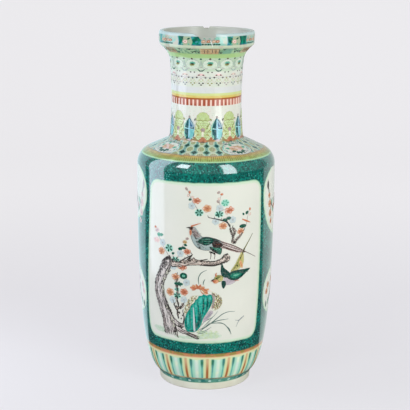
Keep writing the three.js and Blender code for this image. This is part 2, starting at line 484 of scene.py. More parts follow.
def gadroons(board):
    """Petals round the foot: a bar in orange, two in green, and a pale petal between them."""
    pitch = 360 / 17
    away = (board.angle - 2.6).wrap(-pitch / 2, pitch / 2).size()
    rise = (board.height - 18.4) / 31
    uneven = board.noise(90, 2)
    drop = rise.between(0.62, 1.0, 0.16)
    green = board.coats((104, 180, 166), (drop, (16, 108, 80)),
        (uneven.above(0.54, 0.06) * 0.5, (66, 132, 140)))
    return board.coats(
        (228, 238, 208),
        (uneven.above(0.5, 0.1), (218, 232, 218)),
        (away.below(8.8, 1.6), (168, 220, 194)),
        (away.below(4.4, 0.6), (190, 224, 178)),
        (away.below(3.2, 0.8), (224, 222, 168)),
        (((away - 5.2).size() / (0.85 + drop * 0.5)).below(1, 0.5) * 0.92, green),
        (away.below(1.3, 0.7), board.mix(rise.above(0.6, 0.3), (178, 104, 58), (214, 174, 132))),
        ((rise + away * 0.006).above(0.985, 0.03), (222, 222, 172)))


def foot_bands(board, colour):
    """The narrow bands from the foot up to the green ground."""
    height = board.height
    uneven = board.noise(110, 2)
    side = (board.angle - 6).wrap(-6, 6) * 1.08
    drop = (height - 13.0) * 1.1
    dots = (side * side * 0.8 + drop * drop).do("SQRT").below(1.7, 0.6)
    bright = (board.angle - 6).wrap(-12, 12).size().below(6, 0.3) * 0.6 + 0.35
    teal = board.coats((100, 164, 144), (uneven.above(0.5, 0.1), (56, 128, 120)),
        (dots * bright, (206, 234, 226)))
    return board.coats(
        colour,
        (height.below(56.0, 0.4), (120, 104, 64)),
        (height.below(55.3, 0.5), board.mix(uneven.above(0.53, 0.05), (206, 136, 94), (164, 142, 76))),
        (height.below(51.6, 0.6), (224, 180, 138)),
        (height.below(50.4, 0.5), gadroons(board)),
        (height.below(18.8, 0.5), board.mix(uneven.above(0.5, 0.08), (196, 160, 120), (120, 134, 112))),
        (height.below(16.9, 0.5), teal),
        (height.below(10.0, 0.4), (196, 214, 178)),
        (height.below(9.2, 0.4), (238, 234, 214)))


def make_foot_enamels():
    """The foot of bare clay. The lowest bands run down over its top."""
    board = Board("foot_enamels")
    # the clay turns darker and browner in its lowest millimetre, at the edge it stands on
    clay = board.coats((238, 234, 216), (board.noise(40, 3).above(0.5, 0.2), (228, 221, 200)),
                       (board.height.below(0.9, 0.5) * 0.5, (176, 156, 132)))
    enamel = board.height.above(9.4, 0.4)
    return board.finish(board.mix(enamel, clay, foot_bands(board, clay)), 0.55 - enamel * 0.4)


def make_body():
    """White panels with a ragged pale border on the green ground, and the bands at the foot."""
    board = Board("body_enamels")
    distance = panel_field(board)
    ragged = distance + (board.noise(130, 2) - 0.5) * 1.6
    colour = board.coats(
        green_ground(board),
        (ragged.below(2.6, 0.4), (150, 196, 160)),
        (ragged.below(1.6, 0.5), (206, 222, 194)),
        (distance.below(-1.0, 1.6), white_glaze(board)))
    enamel = distance.above(2.0, 0.5) * board.height.above(53, 1)
    return board.finish(foot_bands(board, colour), 0.12, enamel, board.noise(45, 2), 0.0002)


body_enamels = make_body()
foot_enamels = make_foot_enamels()
print("body material nodes:", len(body_enamels.node_tree.nodes))

# %% [markdown]
# ## The shoulder's diaper
# A band of octagons and dark squares runs round the shoulder, a pattern taken from woven silk. It is a
# grid in angle and slant height. Four cartouches break it, and a yellow band and a beaded line close it.

# %% Shoulder
diaper_pitch = 360 / 27
row_pitch = 14.6


def make_shoulder():
    """The diaper, the yellow band with its beads, and the green ground below the turn of the shoulder."""
    board = Board("shoulder_enamels")
    arc_end = arc_centre[0] + shoulder_round * math.cos(arc_turn)
    slant = 320.6 + (arc_end - board.radius) / math.cos(shoulder_slope)
    side = (board.angle - 0.5).wrap(-diaper_pitch / 2, diaper_pitch / 2) / (diaper_pitch / 2)
    row = (slant - 330.1).wrap(-row_pitch / 2, row_pitch / 2) / (row_pitch / 2)
    far_side, far_row = 1 - side.size(), 1 - row.size()
    oval_run = (far_side * far_side * 1.9 + far_row * far_row * 1.2).do("SQRT")
    diamond = side.size() * 2.0 + row.size() * 1.65
    stripe = board.angle.wrap(-0.95, 0.95).size().above(0.48, 0.2)
    wave = board.noise(120, 2) * 3
    tan = board.mix(board.noise(50, 2).above(0.5, 0.08), (196, 176, 150), (164, 172, 118))
    yellow = board.coats((194, 166, 90), (slant.below(317.4, 2.5), (158, 178, 100)),
                         (stripe * board.noise(200, 2).above(0.46, 0.1) * 0.75, (116, 92, 44)))
    colour = board.coats((160, 184, 164), (board.noise(90, 2).above(0.5, 0.1), (134, 160, 150)),
        (far_side.below(0.42, 0.1), (190, 182, 160)), (side.size().below(0.16, 0.06), (110, 160, 148)),
        (oval_run.below(0.98, 0.06), (194, 216, 184)),
        (oval_run.below(0.78, 0.06), board.mix(stripe, tan, (140, 142, 110))),
        (diamond.below(1.25, 0.08), (120, 172, 154)), (diamond.below(1.0, 0.1), (0, 66, 62)),
        (slant.above(351.4, 0.5), board.mix(board.noise(60, 2).above(0.5, 0.1), (176, 112, 72),
        (146, 142, 96))), ((slant + wave).below(324.6, 0.5), (166, 126, 92)),
        ((slant + wave * 0.5).below(322.6, 0.4), yellow),
        (board.height.below(306.3, 0.25), (170, 208, 160)),
        (board.height.below(304.9, 0.25), green_ground(board)))
    return board.finish(colour, 0.12, board.height.below(304.9) * 0.7 + 0.3, board.noise(45, 2), 0.0002)


shoulder_enamels = make_shoulder()
print("shoulder material nodes:", len(shoulder_enamels.node_tree.nodes))

# %% [markdown]
# ## The neck's bands
# The neck is divided by rings of colour: a faint dotted ground behind the hanging leaves, iron-red
# flutes under a yellow ring, plain white, and a pale ground for the jewelled net.

# %% Neck and mouth


def flutes(board):
    """Iron-red bars, fifty to the turn, with a narrower pale light between each two."""
    pitch = 360 / 50
    away = (board.angle - 0.8 + board.noise(30, 1) * 2).wrap(-pitch / 2, pitch / 2).size()
    tone = board.noise(26, 2)
    return board.coats(
        (170, 72, 58),
        (tone.above(0.5, 0.1), (158, 80, 44)),
        (tone.below(0.44, 0.1) * 0.75, (216, 156, 138)),
        (board.height.above(376.6, 0.8) * 0.6, (172, 104, 58)),
        (away.below(1.3, 0.9) * board.height.below(377.2, 0.5), (246, 216, 198)))


def dotted_ground(board):
    """Tiny pink and green dots on white."""
    dots = board.cells(420, jitter=0.5).below(0.22, 0.08)
    sort = board.noise(220, 1)
    return board.coats(
        white_glaze(board),
        (dots * sort.above(0.5, 0.04) * 0.5, (214, 150, 140)),
        (dots * sort.below(0.46, 0.04) * 0.5, (140, 186, 150)))


def make_neck():
    """The neck's rings of colour from its root up."""
    board = Board("neck_enamels")
    height = board.height
    uneven = board.noise(70, 2)
    colour = board.coats(dotted_ground(board), ((height + uneven * 2).below(327.2, 0.4),
        board.mix(uneven.above(0.5, 0.1), (186, 108, 68), (150, 134, 84))),
        (height.above(369.6, 0.25), flutes(board)), (height.above(377.8, 0.3), (168, 92, 46)),
        (height.above(379.3, 0.3), board.mix(uneven.above(0.5, 0.2), (224, 200, 122), (216, 190, 104))),
        (height.above(382.2, 0.8), (210, 216, 146)), (height.above(385.4, 0.5),
        white_glaze(board, (222, 220, 214), (214, 214, 210))),
        (height.above(393, 1.0), board.mix(board.noise(60, 2).above(0.5, 0.2), (214, 218, 200),
        (222, 220, 208))), (height.above(412.6, 1.0), (196, 211, 184)))
    return board.finish(colour, 0.12, bump=board.noise(45, 2), depth=0.0002)


def make_mouth():
    """The scrolled flare, the green lip with its pale reserves, and the plain top."""
    board = Board("mouth_enamels")
    height = board.height
    uneven, blots = board.noise(90, 2), board.noise(170, 2)
    scroll = board.noise(150, 3).between(0.44, 0.54, 0.04)
    turn = (board.angle - 28).wrap(-30, 30)
    hatch = (board.angle - 3.4).wrap(-30, 30).size().below(12.2, 0.6)
    faint = board.angle.size().above(25, 1)
    flare = board.coats(
        (170, 200, 154),
        (scroll * 0.6, (70, 128, 100)),
        (turn.size().below(7, 1.5) * board.angle.above(0) * 0.7, (104, 160, 142)),
        (hatch * (1 - faint * 0.5), (214, 190, 148)))
    deep = (height - 450).size()
    long_reserve = (board.angle - 9).wrap(-30, 30).size() + deep * 0.2
    round_reserve = (board.angle - 36.5).wrap(-30, 30).size() + deep * 0.3
    lip = board.coats(
        (0, 108, 82),
        (uneven.above(0.5, 0.1), (14, 146, 112)),
        (blots.above(0.57, 0.05) * 0.75, (0, 66, 64)),
        (blots.below(0.42, 0.05) * 0.7, (70, 150, 170)),
        (height.below(447.4, 0.8) * 0.5, (50, 104, 136)),
        (long_reserve.below(16.6, 0.6), (96, 164, 168)),
        (long_reserve.below(15.6, 0.6), board.mix(uneven.above(0.5, 0.08), (186, 182, 162), (140, 190, 172))),
        (round_reserve.below(6.4, 0.5), (164, 178, 146)))
    colour = board.coats(
        (190, 207, 177),
        (uneven.above(0.5, 0.2), (178, 200, 167)),
        (height.above(429.2, 0.6), (172, 204, 136)),
        (height.above(434.6, 0.5), flare),
        (height.above(441.7, 0.4), (196, 206, 176)),
        (uneven.above(0.56, 0.03) * height.above(441.7, 0.4) * 0.4, (200, 170, 160)),
        (height.above(445.6, 0.3), lip),
        (height.above(456.6, 0.4), (184, 202, 198)))
    return board.finish(colour, 0.13, height.between(445.6, 456.6, 0.3) * 0.15, board.noise(45, 2), 0.0002)


neck_enamels = make_neck()
mouth_enamels = make_mouth()
print("neck and mouth materials ready")

# %% [markdown]
# ## The seven sections
# Each section is its stretch of the outside joined to its stretch of the inside. Faces on the outside
# take the enamels, and faces that look towards the axis take the inner glaze, darkened with painted shade.

# %% Sections


def section(name, node, bottom, top, enamel, columns=288):
    """A ring from the outline's outside and inside between two heights, in place of its CAD nodes."""
    outer = cut(outside, bottom, top)
    inner = cut(inside, bottom, top)[::-1]
    piece = turned(name, np.concatenate([outer, inner]), columns)
    piece.data.materials.append(enamel)
    piece.data.materials.append(inner_glaze_painted_shade)
    rows = np.arange(len(outer) + len(inner))
    is_inner = (rows >= len(outer) - 1).astype(np.int32)
    piece.data.polygons.foreach_set("material_index", np.repeat(is_inner, columns))
    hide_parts(node)
    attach(piece, "root")
    return piece


lower_body = section("lower_body_glazed", "lower_body", seams["base"], seams["waist"],
    body_enamels)
upper_body = section("upper_body_glazed", "upper_body", seams["waist"], seams["shoulder"],
    body_enamels)
shoulder = section("shoulder_glazed", "shoulder", seams["shoulder"], seams["neck"],
    shoulder_enamels)
neck = section("neck_glazed", "neck", seams["neck"], seams["mouth"], neck_enamels)
mouth = section("mouth_rim_glazed", "mouth_rim", seams["mouth"], lip_top, mouth_enamels, 360)
print("sections:", [len(p.data.polygons) for p in (lower_body, upper_body, shoulder, neck, mouth)])

# %% [markdown]
# ## The broken lip
# A piece has gone from the front of the lip and a smaller one from the back. Each break is cut with a
# block whose underside is the break: a line from the photograph, made rough by a few crossed waves.

# %% Chips


def rough_block(name, profile, near, far):
    """A closed block: its floor is z(x) plus waves over x and y, its roof is flat above the lip."""
    x, y = np.meshgrid(np.linspace(profile[0][0], profile[-1][0], 72), np.linspace(near, far, 16),
        indexing="ij")
    low = np.interp(x, [q[0] for q in profile], [q[1] for q in profile])
    for pitch, turn, size in ((1.7, 0.3, 0.16), (2.9, 1.2, 0.2), (5.3, -0.5, 0.28), (1.1, 2.2, 0.08)):
        low = low + size * np.sin(2 * np.pi * (x * math.cos(turn) + y * math.sin(turn)) / pitch + 3 * turn)
    n, m = x.shape
    points = np.concatenate([np.stack([x, y, z], -1).reshape(-1, 3) for z in (low,
        np.full_like(low, lip_top + 6))])
    i, j = np.arange(n - 1)[:, None], np.arange(m - 1)
    floor_quads = np.stack([i * m + j, i * m + j + 1, (i + 1) * m + j + 1, (i + 1) * m + j], -1).reshape(-1,
        4)
    rim = np.concatenate([np.arange(m - 1), np.arange(m - 1, n * m - 1, m),
                          np.arange(n * m - 1, (n - 1) * m, -1), np.arange((n - 1) * m, 0, -m)])
    after = np.roll(rim, -1)
    walls = np.stack([rim, rim + n * m, after + n * m, after], -1)
    block = new_object(name, points, np.concatenate([floor_quads, floor_quads[:, ::-1] + n * m,
        walls]).tolist())
    block.data.materials.append(fracture)
    return block


def bite(piece, block):
    """Cuts the block from the piece for good, and throws the block away."""
    cutter = piece.modifiers.new("bite", "BOOLEAN")
    cutter.operation, cutter.solver, cutter.object = "DIFFERENCE", "EXACT", block
    cutter.material_mode = "TRANSFER"
    made = bpy.data.meshes.new_from_object(piece.evaluated_get(bpy.context.evaluated_depsgraph_get()))
    piece.modifiers.clear()
    piece.data = made
    made.set_sharp_from_angle(angle=math.radians(50))
    bpy.data.objects.remove(block)


front_break = [(-22, 462.5), (-18.8, 460), (-12.8, 458), (-9.6, 455.8), (-7.4, 453), (-5.4, 452.1),
    (0, 451.7), (8, 452.1), (10.2, 452.4), (10.8, 457), (11.3, 460), (12.2, 463)]
back_break = [(-6.6, 462), (-5.5, 460), (-3.6, 457.6), (2.0, 457.5), (3.9, 460), (5, 462)]
bite(mouth, rough_block("front_block", front_break, -68, -40))
bite(mouth, rough_block("back_block", back_break, 40, 68))
print("rim materials:", [m.name for m in mouth.data.materials], "faces:", len(mouth.data.polygons))

# %% [markdown]
# ## Foot and base
# The foot ring is cut, not glazed, where it stands. Inside it the base is glazed and a little hollow.

# %% Foot ring and base disc


def make_foot():
    """The ring that the vase stands on, with its rounded inner edge."""
    outer = cut(outside, 0, seams["foot"])
    inner = np.array([(51.5, seams["foot"]), (51.8, 4), (52.6, 1.0), (53.4, 0.2), (54.2, 0)])
    piece = turned("foot_ring_cut", np.concatenate([outer, inner]))
    piece.data.materials.append(foot_enamels)
    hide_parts("foot_ring")
    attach(piece, "root")
    return piece


def make_base():
    """The floor, closed on the axis. Faces inside the foot ring take the darker, painted-shade glaze."""
    outer = cut(outside, seams["foot"], seams["base"])
    floor = np.array([(58.0, 18.3), (30, 17.9), (0, 17.8)])
    under = np.array([(0, 11.6), (30, 11.4), (49.5, 10.8), (52, seams["foot"])])
    piece = turned("base_disc_glazed", np.concatenate([under, outer, floor]), on_axis=True)
    piece.data.materials.append(body_enamels)
    piece.data.materials.append(inner_glaze_painted_shade)
    count = len(piece.data.polygons)
    centre = np.zeros(count * 3)
    piece.data.polygons.foreach_get("center", centre)
    centre = centre.reshape(-1, 3)
    inner = np.hypot(centre[:, 0], centre[:, 1]) < 0.0605
    piece.data.polygons.foreach_set("material_index", inner.astype(np.int32))
    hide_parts("base_disc")
    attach(piece, "root")
    return piece


foot = make_foot()
base = make_base()
print("foot and base made")

# %% [markdown]
# ## Luting slip
# Liquid clay holds the sections together. Outside it lies under the glaze, and inside it was squeezed out
# into a small rounded bead, so each joint is a thin ring in the wall with a bead on its inner edge.

# %% Slip rings
slip_half, bead = 0.3, 1.1


def make_slip_clay():
    """Dry slip, rough and a little darker than the body."""
    board = Board("luting_slip")
    grain = board.noise(600, 3)
    colour = board.mix(grain.above(0.5, 0.2), (216, 210, 196), (194, 186, 168))
    return board.finish(colour, 0.6, bump=grain, depth=0.0002)


slip_clay = make_slip_clay()


def slip_ring(name):
    """A flat ring inside the wall whose inner edge is a half circle of radius bead."""
    height = seams[name]
    inner = 51.5 if name == "foot" else float(np.interp(height, inside[:, 1], inside[:, 0]))
    outer = float(np.interp(height, outside[:, 1], outside[:, 0])) - 1.0
    round_edge = arc((inner, height), bead, math.radians(90 + 16), math.radians(270 - 16), 9)
    outline = np.concatenate([[(outer, height - slip_half), (outer, height + slip_half),
                               (inner, height + slip_half)], round_edge, [(inner, height - slip_half)]])
    piece = turned(name + "_slip_ring", outline, 144)
    piece.data.materials.append(slip_clay)
    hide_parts(name + "_slip_joint")
    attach(piece, "root")
    return piece


slips = [slip_ring(name) for name in seams]
print("slip rings:", [piece.name for piece in slips])

# %% [markdown]
# ## Raised enamel
# Enamels are glass pastes laid on the fired glaze, so each stroke stands up a little and has a soft
# edge. Two shapes are enough for every picture here: a pad, which is a low dome over an outline, and
# a stroke, which is a low ridge along a path. They are drawn flat in millimetres, as across, up and
# lift, and then wrapped round the vase. Both are deeper in colour where they are thick.

# %% Wrapping a drawing round the vase
outline_run = np.concatenate([[0], np.cumsum(np.hypot(*np.diff(outside, axis=0).T))])
outline_run += np.arange(len(outline_run)) * 1e-6


def run_at(height):
    """Distance along the outline from the foot to a height."""
    return np.interp(height, outside[:, 1], outline_run)


def shell(angle, run, lift):
    """Point at an angle, a distance along the outline, and a lift along the outline's normal."""
    radius = np.interp(run, outline_run, outside[:, 0])
    height = np.interp(run, outline_run, outside[:, 1])
    out, up = (np.interp(run + 0.5, outline_run, outside[:, k]) - np.interp(run - 0.5, outline_run,
        outside[:, k]) for k in (0, 1))
    length = np.hypot(out, up)
    radius, height = radius + lift * up / length, height - lift * out / length
    return np.stack([radius * np.sin(angle), -radius * np.cos(angle), height], -1)


class Place:
    """Where a drawing lies: the pile it joins, the angle of its middle, the radius that turns millimetres
    into angles, a shift, and whether it is mirrored. With slant, up is a distance along the outline."""

    def __init__(self, pile, centre=0.0, radius=body_radius, mirror=1, shift=(0, 0), slant=False):
        self.pile, self.centre, self.radius = pile, centre, radius
        self.mirror, self.shift, self.slant = mirror, shift, slant

    def wrap(self, flat):
        """Points on the vase for rows of across, up and lift."""
        angle = math.radians(self.centre) + self.mirror * (flat[:, 0] + self.shift[0]) / self.radius
        up = flat[:, 1] + self.shift[1]
        return shell(angle, up if self.slant else run_at(up), flat[:, 2])

    def on(self, pile, across=0, up=0):
        """The same place for another pile, shifted by millimetres."""
        shift = (self.shift[0] + across, self.shift[1] + up)
        return Place(pile, self.centre, self.radius, self.mirror, shift, self.slant)


print("outline length in mm:", round(float(outline_run[-1]), 1))

# %% [markdown]
# ## Paints
# Each paint has a colour where it lies thick, one where it is thin, and a roughness. One material could be
# made for each, but a colour attribute on the points lets one material serve them all.

# %% Paints
paints = {
    "coral": ((194, 98, 54), (220, 144, 102), 0.3),
    "iron_red": ((160, 74, 42), (184, 104, 68), 0.4),
    "orange": ((206, 134, 76), (228, 178, 130), 0.3),
    "peach": ((232, 206, 188), (238, 220, 206), 0.2),
    "pink": ((232, 190, 184), (240, 212, 204), 0.2),
    "driftwood": ((222, 204, 190), (204, 180, 164), 0.3),
    "tan": ((192, 148, 112), (212, 176, 146), 0.25),
    "tail": ((222, 204, 196), (204, 184, 174), 0.25),
    "deep_green": ((0, 66, 50), (0, 98, 76), 0.12),
    "wing": ((0, 50, 44), (0, 74, 62), 0.14),
    "mint": ((140, 210, 186), (184, 228, 208), 0.14),
    "leaf_green": ((66, 156, 128), (120, 196, 166), 0.14),
    "sage": ((190, 210, 142), (208, 222, 168), 0.14),
    "ash": ((192, 204, 204), (208, 216, 214), 0.16),
    "slate": ((88, 98, 106), (122, 132, 138), 0.3),
    "bark": ((218, 206, 198), (182, 168, 162), 0.3),
    "sepia": ((36, 24, 18), (56, 40, 30), 0.45),
    "lilac": ((186, 168, 174), (204, 190, 194), 0.2),
    "grey": ((172, 186, 182), (150, 166, 162), 0.2),
    "dove": ((156, 140, 134), (174, 160, 154), 0.25),
    "umber": ((32, 13, 11), (54, 26, 22), 0.3),
    "brown": ((66, 32, 22), (100, 58, 42), 0.3),
    "ochre": ((164, 100, 48), (196, 142, 88), 0.3),
    "black": ((6, 14, 12), (10, 26, 24), 0.14),
    "olive": ((128, 130, 62), (162, 160, 92), 0.18),
    "gold": ((176, 166, 86), (206, 196, 132), 0.16),
    "inner_wing": ((0, 128, 100), (0, 108, 86), 0.12),
    "rock_teal": ((26, 168, 148), (0, 144, 126), 0.1),
    "rock_light": ((72, 190, 172), (40, 168, 150), 0.1),
    "rock_dark": ((0, 84, 76), (0, 104, 92), 0.1),
    "sea_teal": ((0, 74, 80), (0, 92, 94), 0.12),
    "navy": ((16, 78, 118), (40, 104, 140), 0.12),
    "river": ((124, 158, 178), (150, 180, 192), 0.14),
    "turquoise": ((100, 184, 188), (140, 206, 204), 0.14),
    "sky": ((146, 210, 228), (176, 222, 232), 0.14),
    "fan": ((178, 194, 122), (198, 210, 148), 0.14),
    "copper": ((168, 94, 54), (192, 128, 86), 0.3),
    "blade": ((58, 92, 84), (96, 126, 114), 0.3),
    "wash": ((196, 214, 186), (214, 222, 202), 0.2),
    "cream": ((232, 226, 196), (236, 232, 212), 0.14),
    "field": ((212, 212, 198), (222, 220, 208), 0.14),
    "white": ((240, 240, 236), (236, 238, 234), 0.14),
}
piles = {}


def lay(paint, flat, shade, triangles, quads, place):
    """Adds a wrapped shape to its pile. Shade mixes the paint's two tones, and a mirrored place turns the
    faces round."""
    deep, thin, roughness = paints[paint]
    colour = np.array(srgb(*deep)) * (1 - shade[:, None]) + np.array(srgb(*thin)) * shade[:, None]
    colour[:, 3] = roughness
    turned_round = slice(None, None, -1) if place.mirror < 0 else slice(None)
    piles.setdefault(place.pile, []).append(
        (place.wrap(flat), colour, np.array(triangles)[:, turned_round], np.array(quads)[:, turned_round]))


print("paints:", len(paints))

# %% [markdown]
# ## Smooth lines through a few points
# A brush line is set by a few points. A curve that is only pulled towards them would miss the inner ones,
# so each stretch here is a cubic that starts and ends on two of them and leans on the neighbours of both.

# %% Lines


def brush_span(before, first, last, after, f):
    """The cubic through first and last whose directions come from the points before and after."""
    return 0.5 * (2 * first + (last - before) * f + (2 * before - 5 * first + 4 * last - after) * f ** 2
                  + (3 * first - before - 3 * last + after) * f ** 3)


def flow(points, count=24):
    """The open curve: at each point its direction is that from one neighbour to the other."""
    p = np.array(points, float)
    p = np.concatenate([[2 * p[0] - p[1]], p, [2 * p[-1] - p[-2]]])
    t = np.linspace(0, len(p) - 3, count)
    i = np.minimum(t.astype(int), len(p) - 4)
    return brush_span(p[i], p[i + 1], p[i + 2], p[i + 3], (t - i)[:, None])


def loop(points, count=28):
    """The same curve, closed."""
    p = np.array(points, float)
    t = np.linspace(0, len(p), count, endpoint=False)
    i = t.astype(int)
    return brush_span(*(p[(i + k) % len(p)] for k in (-1, 0, 1, 2)), (t - i)[:, None])


def both_sides(half, count=32):
    """A closed curve from its left half, given from the top down."""
    half = np.array(half, float)
    right = half[::-1] * (-1, 1)
    return loop(np.concatenate([half, right[right[:, 0] > 0.01]]), count)


def oval(across, up, wide, high, turn=0.0, count=10, lobes=0, depth=0.0):
    """Ellipse with half-axes wide and high, turned, and scalloped by
    1 - depth * |cos(lobes * angle / 2)|."""
    angle = np.linspace(0, 2 * np.pi, count, endpoint=False)
    reach = 1 - depth * np.abs(np.cos(lobes * angle / 2))
    x, y = wide * reach * np.cos(angle), high * reach * np.sin(angle)
    c, s = math.cos(turn), math.sin(turn)
    return np.stack([across + c * x - s * y, up + s * x + c * y], -1)


print("line tools ready:", flow.__name__, loop.__name__, both_sides.__name__, oval.__name__)

# %% [markdown]
# ## Pads and strokes
# A dab of enamel dries as a low dome, and a brush line as a low ridge. Both are closed on their underside,
# which lies a little inside the wall, so that no gap shows.

# %% Pads and strokes
step = 4.0


def pad(paint, outline, place, lift=0.06, dome=0.14):
    """Low dome: a ring at share f of the way from the heart to the outline stands at dome * sqrt(1 - f^2).
    A wide pad has more rings, because a long flat face would dip under the curved wall."""
    outline = np.asarray(outline, float)
    after = np.roll(outline, -1, 0)
    if np.sum(outline[:, 0] * after[:, 1] - after[:, 0] * outline[:, 1]) < 0:
        outline = outline[::-1]
    n = len(outline)
    heart = outline.mean(0)
    rings = max(2, math.ceil(np.abs(outline - heart).max() / step))
    shares = np.sin(np.linspace(0, math.pi / 2, rings + 1))[1:]
    ring = heart + shares[:, None, None] * (outline - heart)
    rise = np.broadcast_to((lift + dome * np.sqrt(1 - shares ** 2))[:, None, None], (rings, n, 1))
    ring = np.concatenate([ring, rise], -1).reshape(-1, 3)
    flat = np.concatenate([ring, [[*heart, lift + dome], [*heart, -0.12]]])
    shade = np.concatenate([np.repeat(shares ** 2, n), [0, 1]])
    j = np.arange(n)
    side = (j + 1) % n
    top, bottom, edge = rings * n, rings * n + 1, (rings - 1) * n
    triangles = np.concatenate([np.stack([top + 0 * j, j, side], -1),
                                np.stack([bottom + 0 * j, edge + side, edge + j], -1)])
    k = np.arange(rings - 1)[:, None] * n
    quads = np.stack([k + j, k + n + j, k + n + side, k + side], -1).reshape(-1, 4)
    lay(paint, flat, shade, triangles, quads, place)


def stroke(paint, points, widths, place, lift=0.1, height=0.1):
    """Low ridge along a path. Across it, s runs from -1 to 1 and it stands at height * sqrt(1 - s^2)."""
    length = np.hypot(*np.diff(np.array(points, float), axis=0).T).sum()
    count = int(np.clip(length / 2.2, 4, 90))
    path = flow(points, count)
    width = np.interp(np.linspace(0, 1, count), np.linspace(0, 1, len(widths)), widths)[:, None]
    ahead = np.gradient(path, axis=0)
    ahead /= np.hypot(ahead[:, :1], ahead[:, 1:]) + 1e-9
    left = np.stack([-ahead[:, 1], ahead[:, 0]], -1)
    tops = 4 if max(widths) < 1.5 else 8
    s = np.linspace(1, -1, tops)
    ridge = lift + height * np.sqrt(1 - s * s)
    s, ridge = np.append(s, 0), np.append(ridge, -0.12)
    flat = path[:, None] + left[:, None] * (width * s)[:, :, None]
    flat = np.concatenate([flat, np.broadcast_to(ridge[None, :, None], (count, tops + 1, 1))],
        -1).reshape(-1, 3)
    shade = np.tile(s * s, count)
    i = np.arange(count - 1)[:, None] * (tops + 1)
    j = np.arange(tops + 1)
    side = (j + 1) % (tops + 1)
    quads = np.stack([i + j, i + side, i + tops + 1 + side, i + tops + 1 + j], -1).reshape(-1, 4)
    fan = np.stack([0 * j[1:-1], j[2:], j[1:-1]], -1)
    end = (count - 1) * (tops + 1) + fan[:, ::-1]
    lay(paint, flat, shade, np.concatenate([fan, end]), quads, place)


def strokes(paint, paths, widths, place, lift=0.1, height=0.1):
    """One stroke along each path."""
    for points in paths:
        stroke(paint, points, widths, place, lift, height)


def outlined(paint, edge, outline, place, rim=0.35, lift=0.1, dome=0.14):
    """A pad over a slightly wider one of the edge colour: rim is the width of the line that shows."""
    outline = np.asarray(outline, float)
    heart = outline.mean(0)
    reach = np.hypot(*(outline - heart).T)[:, None]
    pad(edge, heart + (outline - heart) * (1 + rim / reach), place, lift - 0.04, dome * 0.5)
    pad(paint, outline, place, lift, dome)


print("drawing tools ready:", pad.__name__, stroke.__name__)

# %% [markdown]
# ## Flowers and leaves
# The painter repeats a few flower heads with small changes: a round iron-red blossom, a green one with
# separate petals, and a pale one in grey-blue.

# %% Flower heads


def around(count, turn):
    """Equal angles round a circle, from a first one."""
    return [turn + k * 2 * math.pi / count for k in range(count)]


def head_point(across, up, tilt, x, y):
    """A point of a flower head after the head is tilted."""
    return across + x * math.cos(tilt) - y * math.sin(tilt), up + x * math.sin(tilt) + y * math.cos(tilt)


def red_blossom(place, across, up, size=5.2, turn=0.3, paint="coral", edge="iron_red", flat=1, tilt=0):
    """Five petals whose hearts stand at half the size from the middle, over a pale ground. Flat presses the
    head together, as in a flower seen from the side, and tilt turns it."""
    pad("peach", oval(across, up, 1.06 * size, 1 * size * flat, tilt, 14), place, 0.04, 0.05)
    for k, a in enumerate(around(5, turn)):
        c, s = math.cos(a), math.sin(a) * flat
        x, y = head_point(across, up, tilt, 0.48 * size * c, 0.48 * size * s)
        outlined(paint, edge, oval(x, y, 0.47 * size, 0.49 * size * (0.4 + 0.6 * flat), a + tilt, 11),
            place, 0.22, 0.1 + 0.01 * k)
        x, y = head_point(across, up, tilt, 0.74 * size * c, 0.74 * size * s)
        pad("peach", oval(x, y, 0.11 * size, 0.16 * size, a, 6), place, 0.24, 0.04)
        stroke(edge, [(across, up), head_point(across, up, tilt, 0.62 * size * c, 0.62 * size * s)],
            [0.4, 0.2], place, 0.26, 0.05)
        side = a + math.pi / 5
        stroke(edge, [head_point(across, up, tilt, 0.3 * size * math.cos(side),
            0.3 * size * math.sin(side) * flat), head_point(across, up, tilt, 0.9 * size * math.cos(side),
            0.9 * size * math.sin(side) * flat)], [0.4, 0.2], place, 0.26, 0.05)
    pad(edge, oval(across, up, 0.2 * size, 0.18 * size, 0, 7), place, 0.28, 0.08)


def green_blossom(place, across, up, size=5.2, turn=0.2, count=6, paint="deep_green", flat=1, tilt=0):
    """Dark petals set apart on a mint ground."""
    pad("mint", oval(across, up, 1.04 * size, 1 * size * flat, tilt, 14), place, 0.04, 0.06)
    for a in around(count, turn):
        x, y = head_point(across, up, tilt, 0.62 * size * math.cos(a), 0.62 * size * flat * math.sin(a))
        pad(paint, oval(x, y, 0.36 * size, 0.24 * size * max(flat, 0.6), a + tilt, 8), place, 0.12, 0.16)
    pad(paint, oval(across, up, 0.16 * size, 0.14 * size, 0, 6), place, 0.14, 0.1)


def pale_blossom(place, across, up, size=4.6, turn=0.5):
    """Five thin petals in an ash-grey wash."""
    for k, a in enumerate(around(5, turn)):
        x, y = across + 0.5 * size * math.cos(a), up + 0.5 * size * math.sin(a)
        outlined("ash", "grey", oval(x, y, 0.46 * size, 0.48 * size, a, 9), place, 0.22, 0.08 + 0.008 * k,
            0.08)
        stroke("grey", [(across, up), (x, y)], [0.3, 0.14], place, 0.2, 0.04)
    pad("dove", oval(across, up, 0.24 * size, 0.22 * size, 0, 7), place, 0.18, 0.06)


def bud(place, across, up, size=1.7, turn=1.2, paint="coral"):
    """A small oval head."""
    outlined(paint, "iron_red", oval(across, up, size, size * 0.7, turn, 8), place, 0.3)


def leaf(place, across, up, length, turn, paint="leaf_green", wide=0.3):
    """Pointed oval from its stalk end, with a vein."""
    c, s = math.cos(turn), math.sin(turn)
    shape = np.array([(0, 0), (0.35, wide), (0.75, wide * 0.7), (1.05, 0), (0.7, -wide * 0.7),
        (0.3, -wide)]) * length
    outline = np.stack([across + c * shape[:, 0] - s * shape[:, 1], up + s * shape[:, 0] + c * shape[:, 1]],
        -1)
    outlined(paint, "deep_green", loop(outline, 14), place, 0.25)
    stroke("deep_green", [(across, up), (across + c * length, up + s * length)], [0.25, 0.1], place, 0.24,
        0.04)


print("flower heads ready")

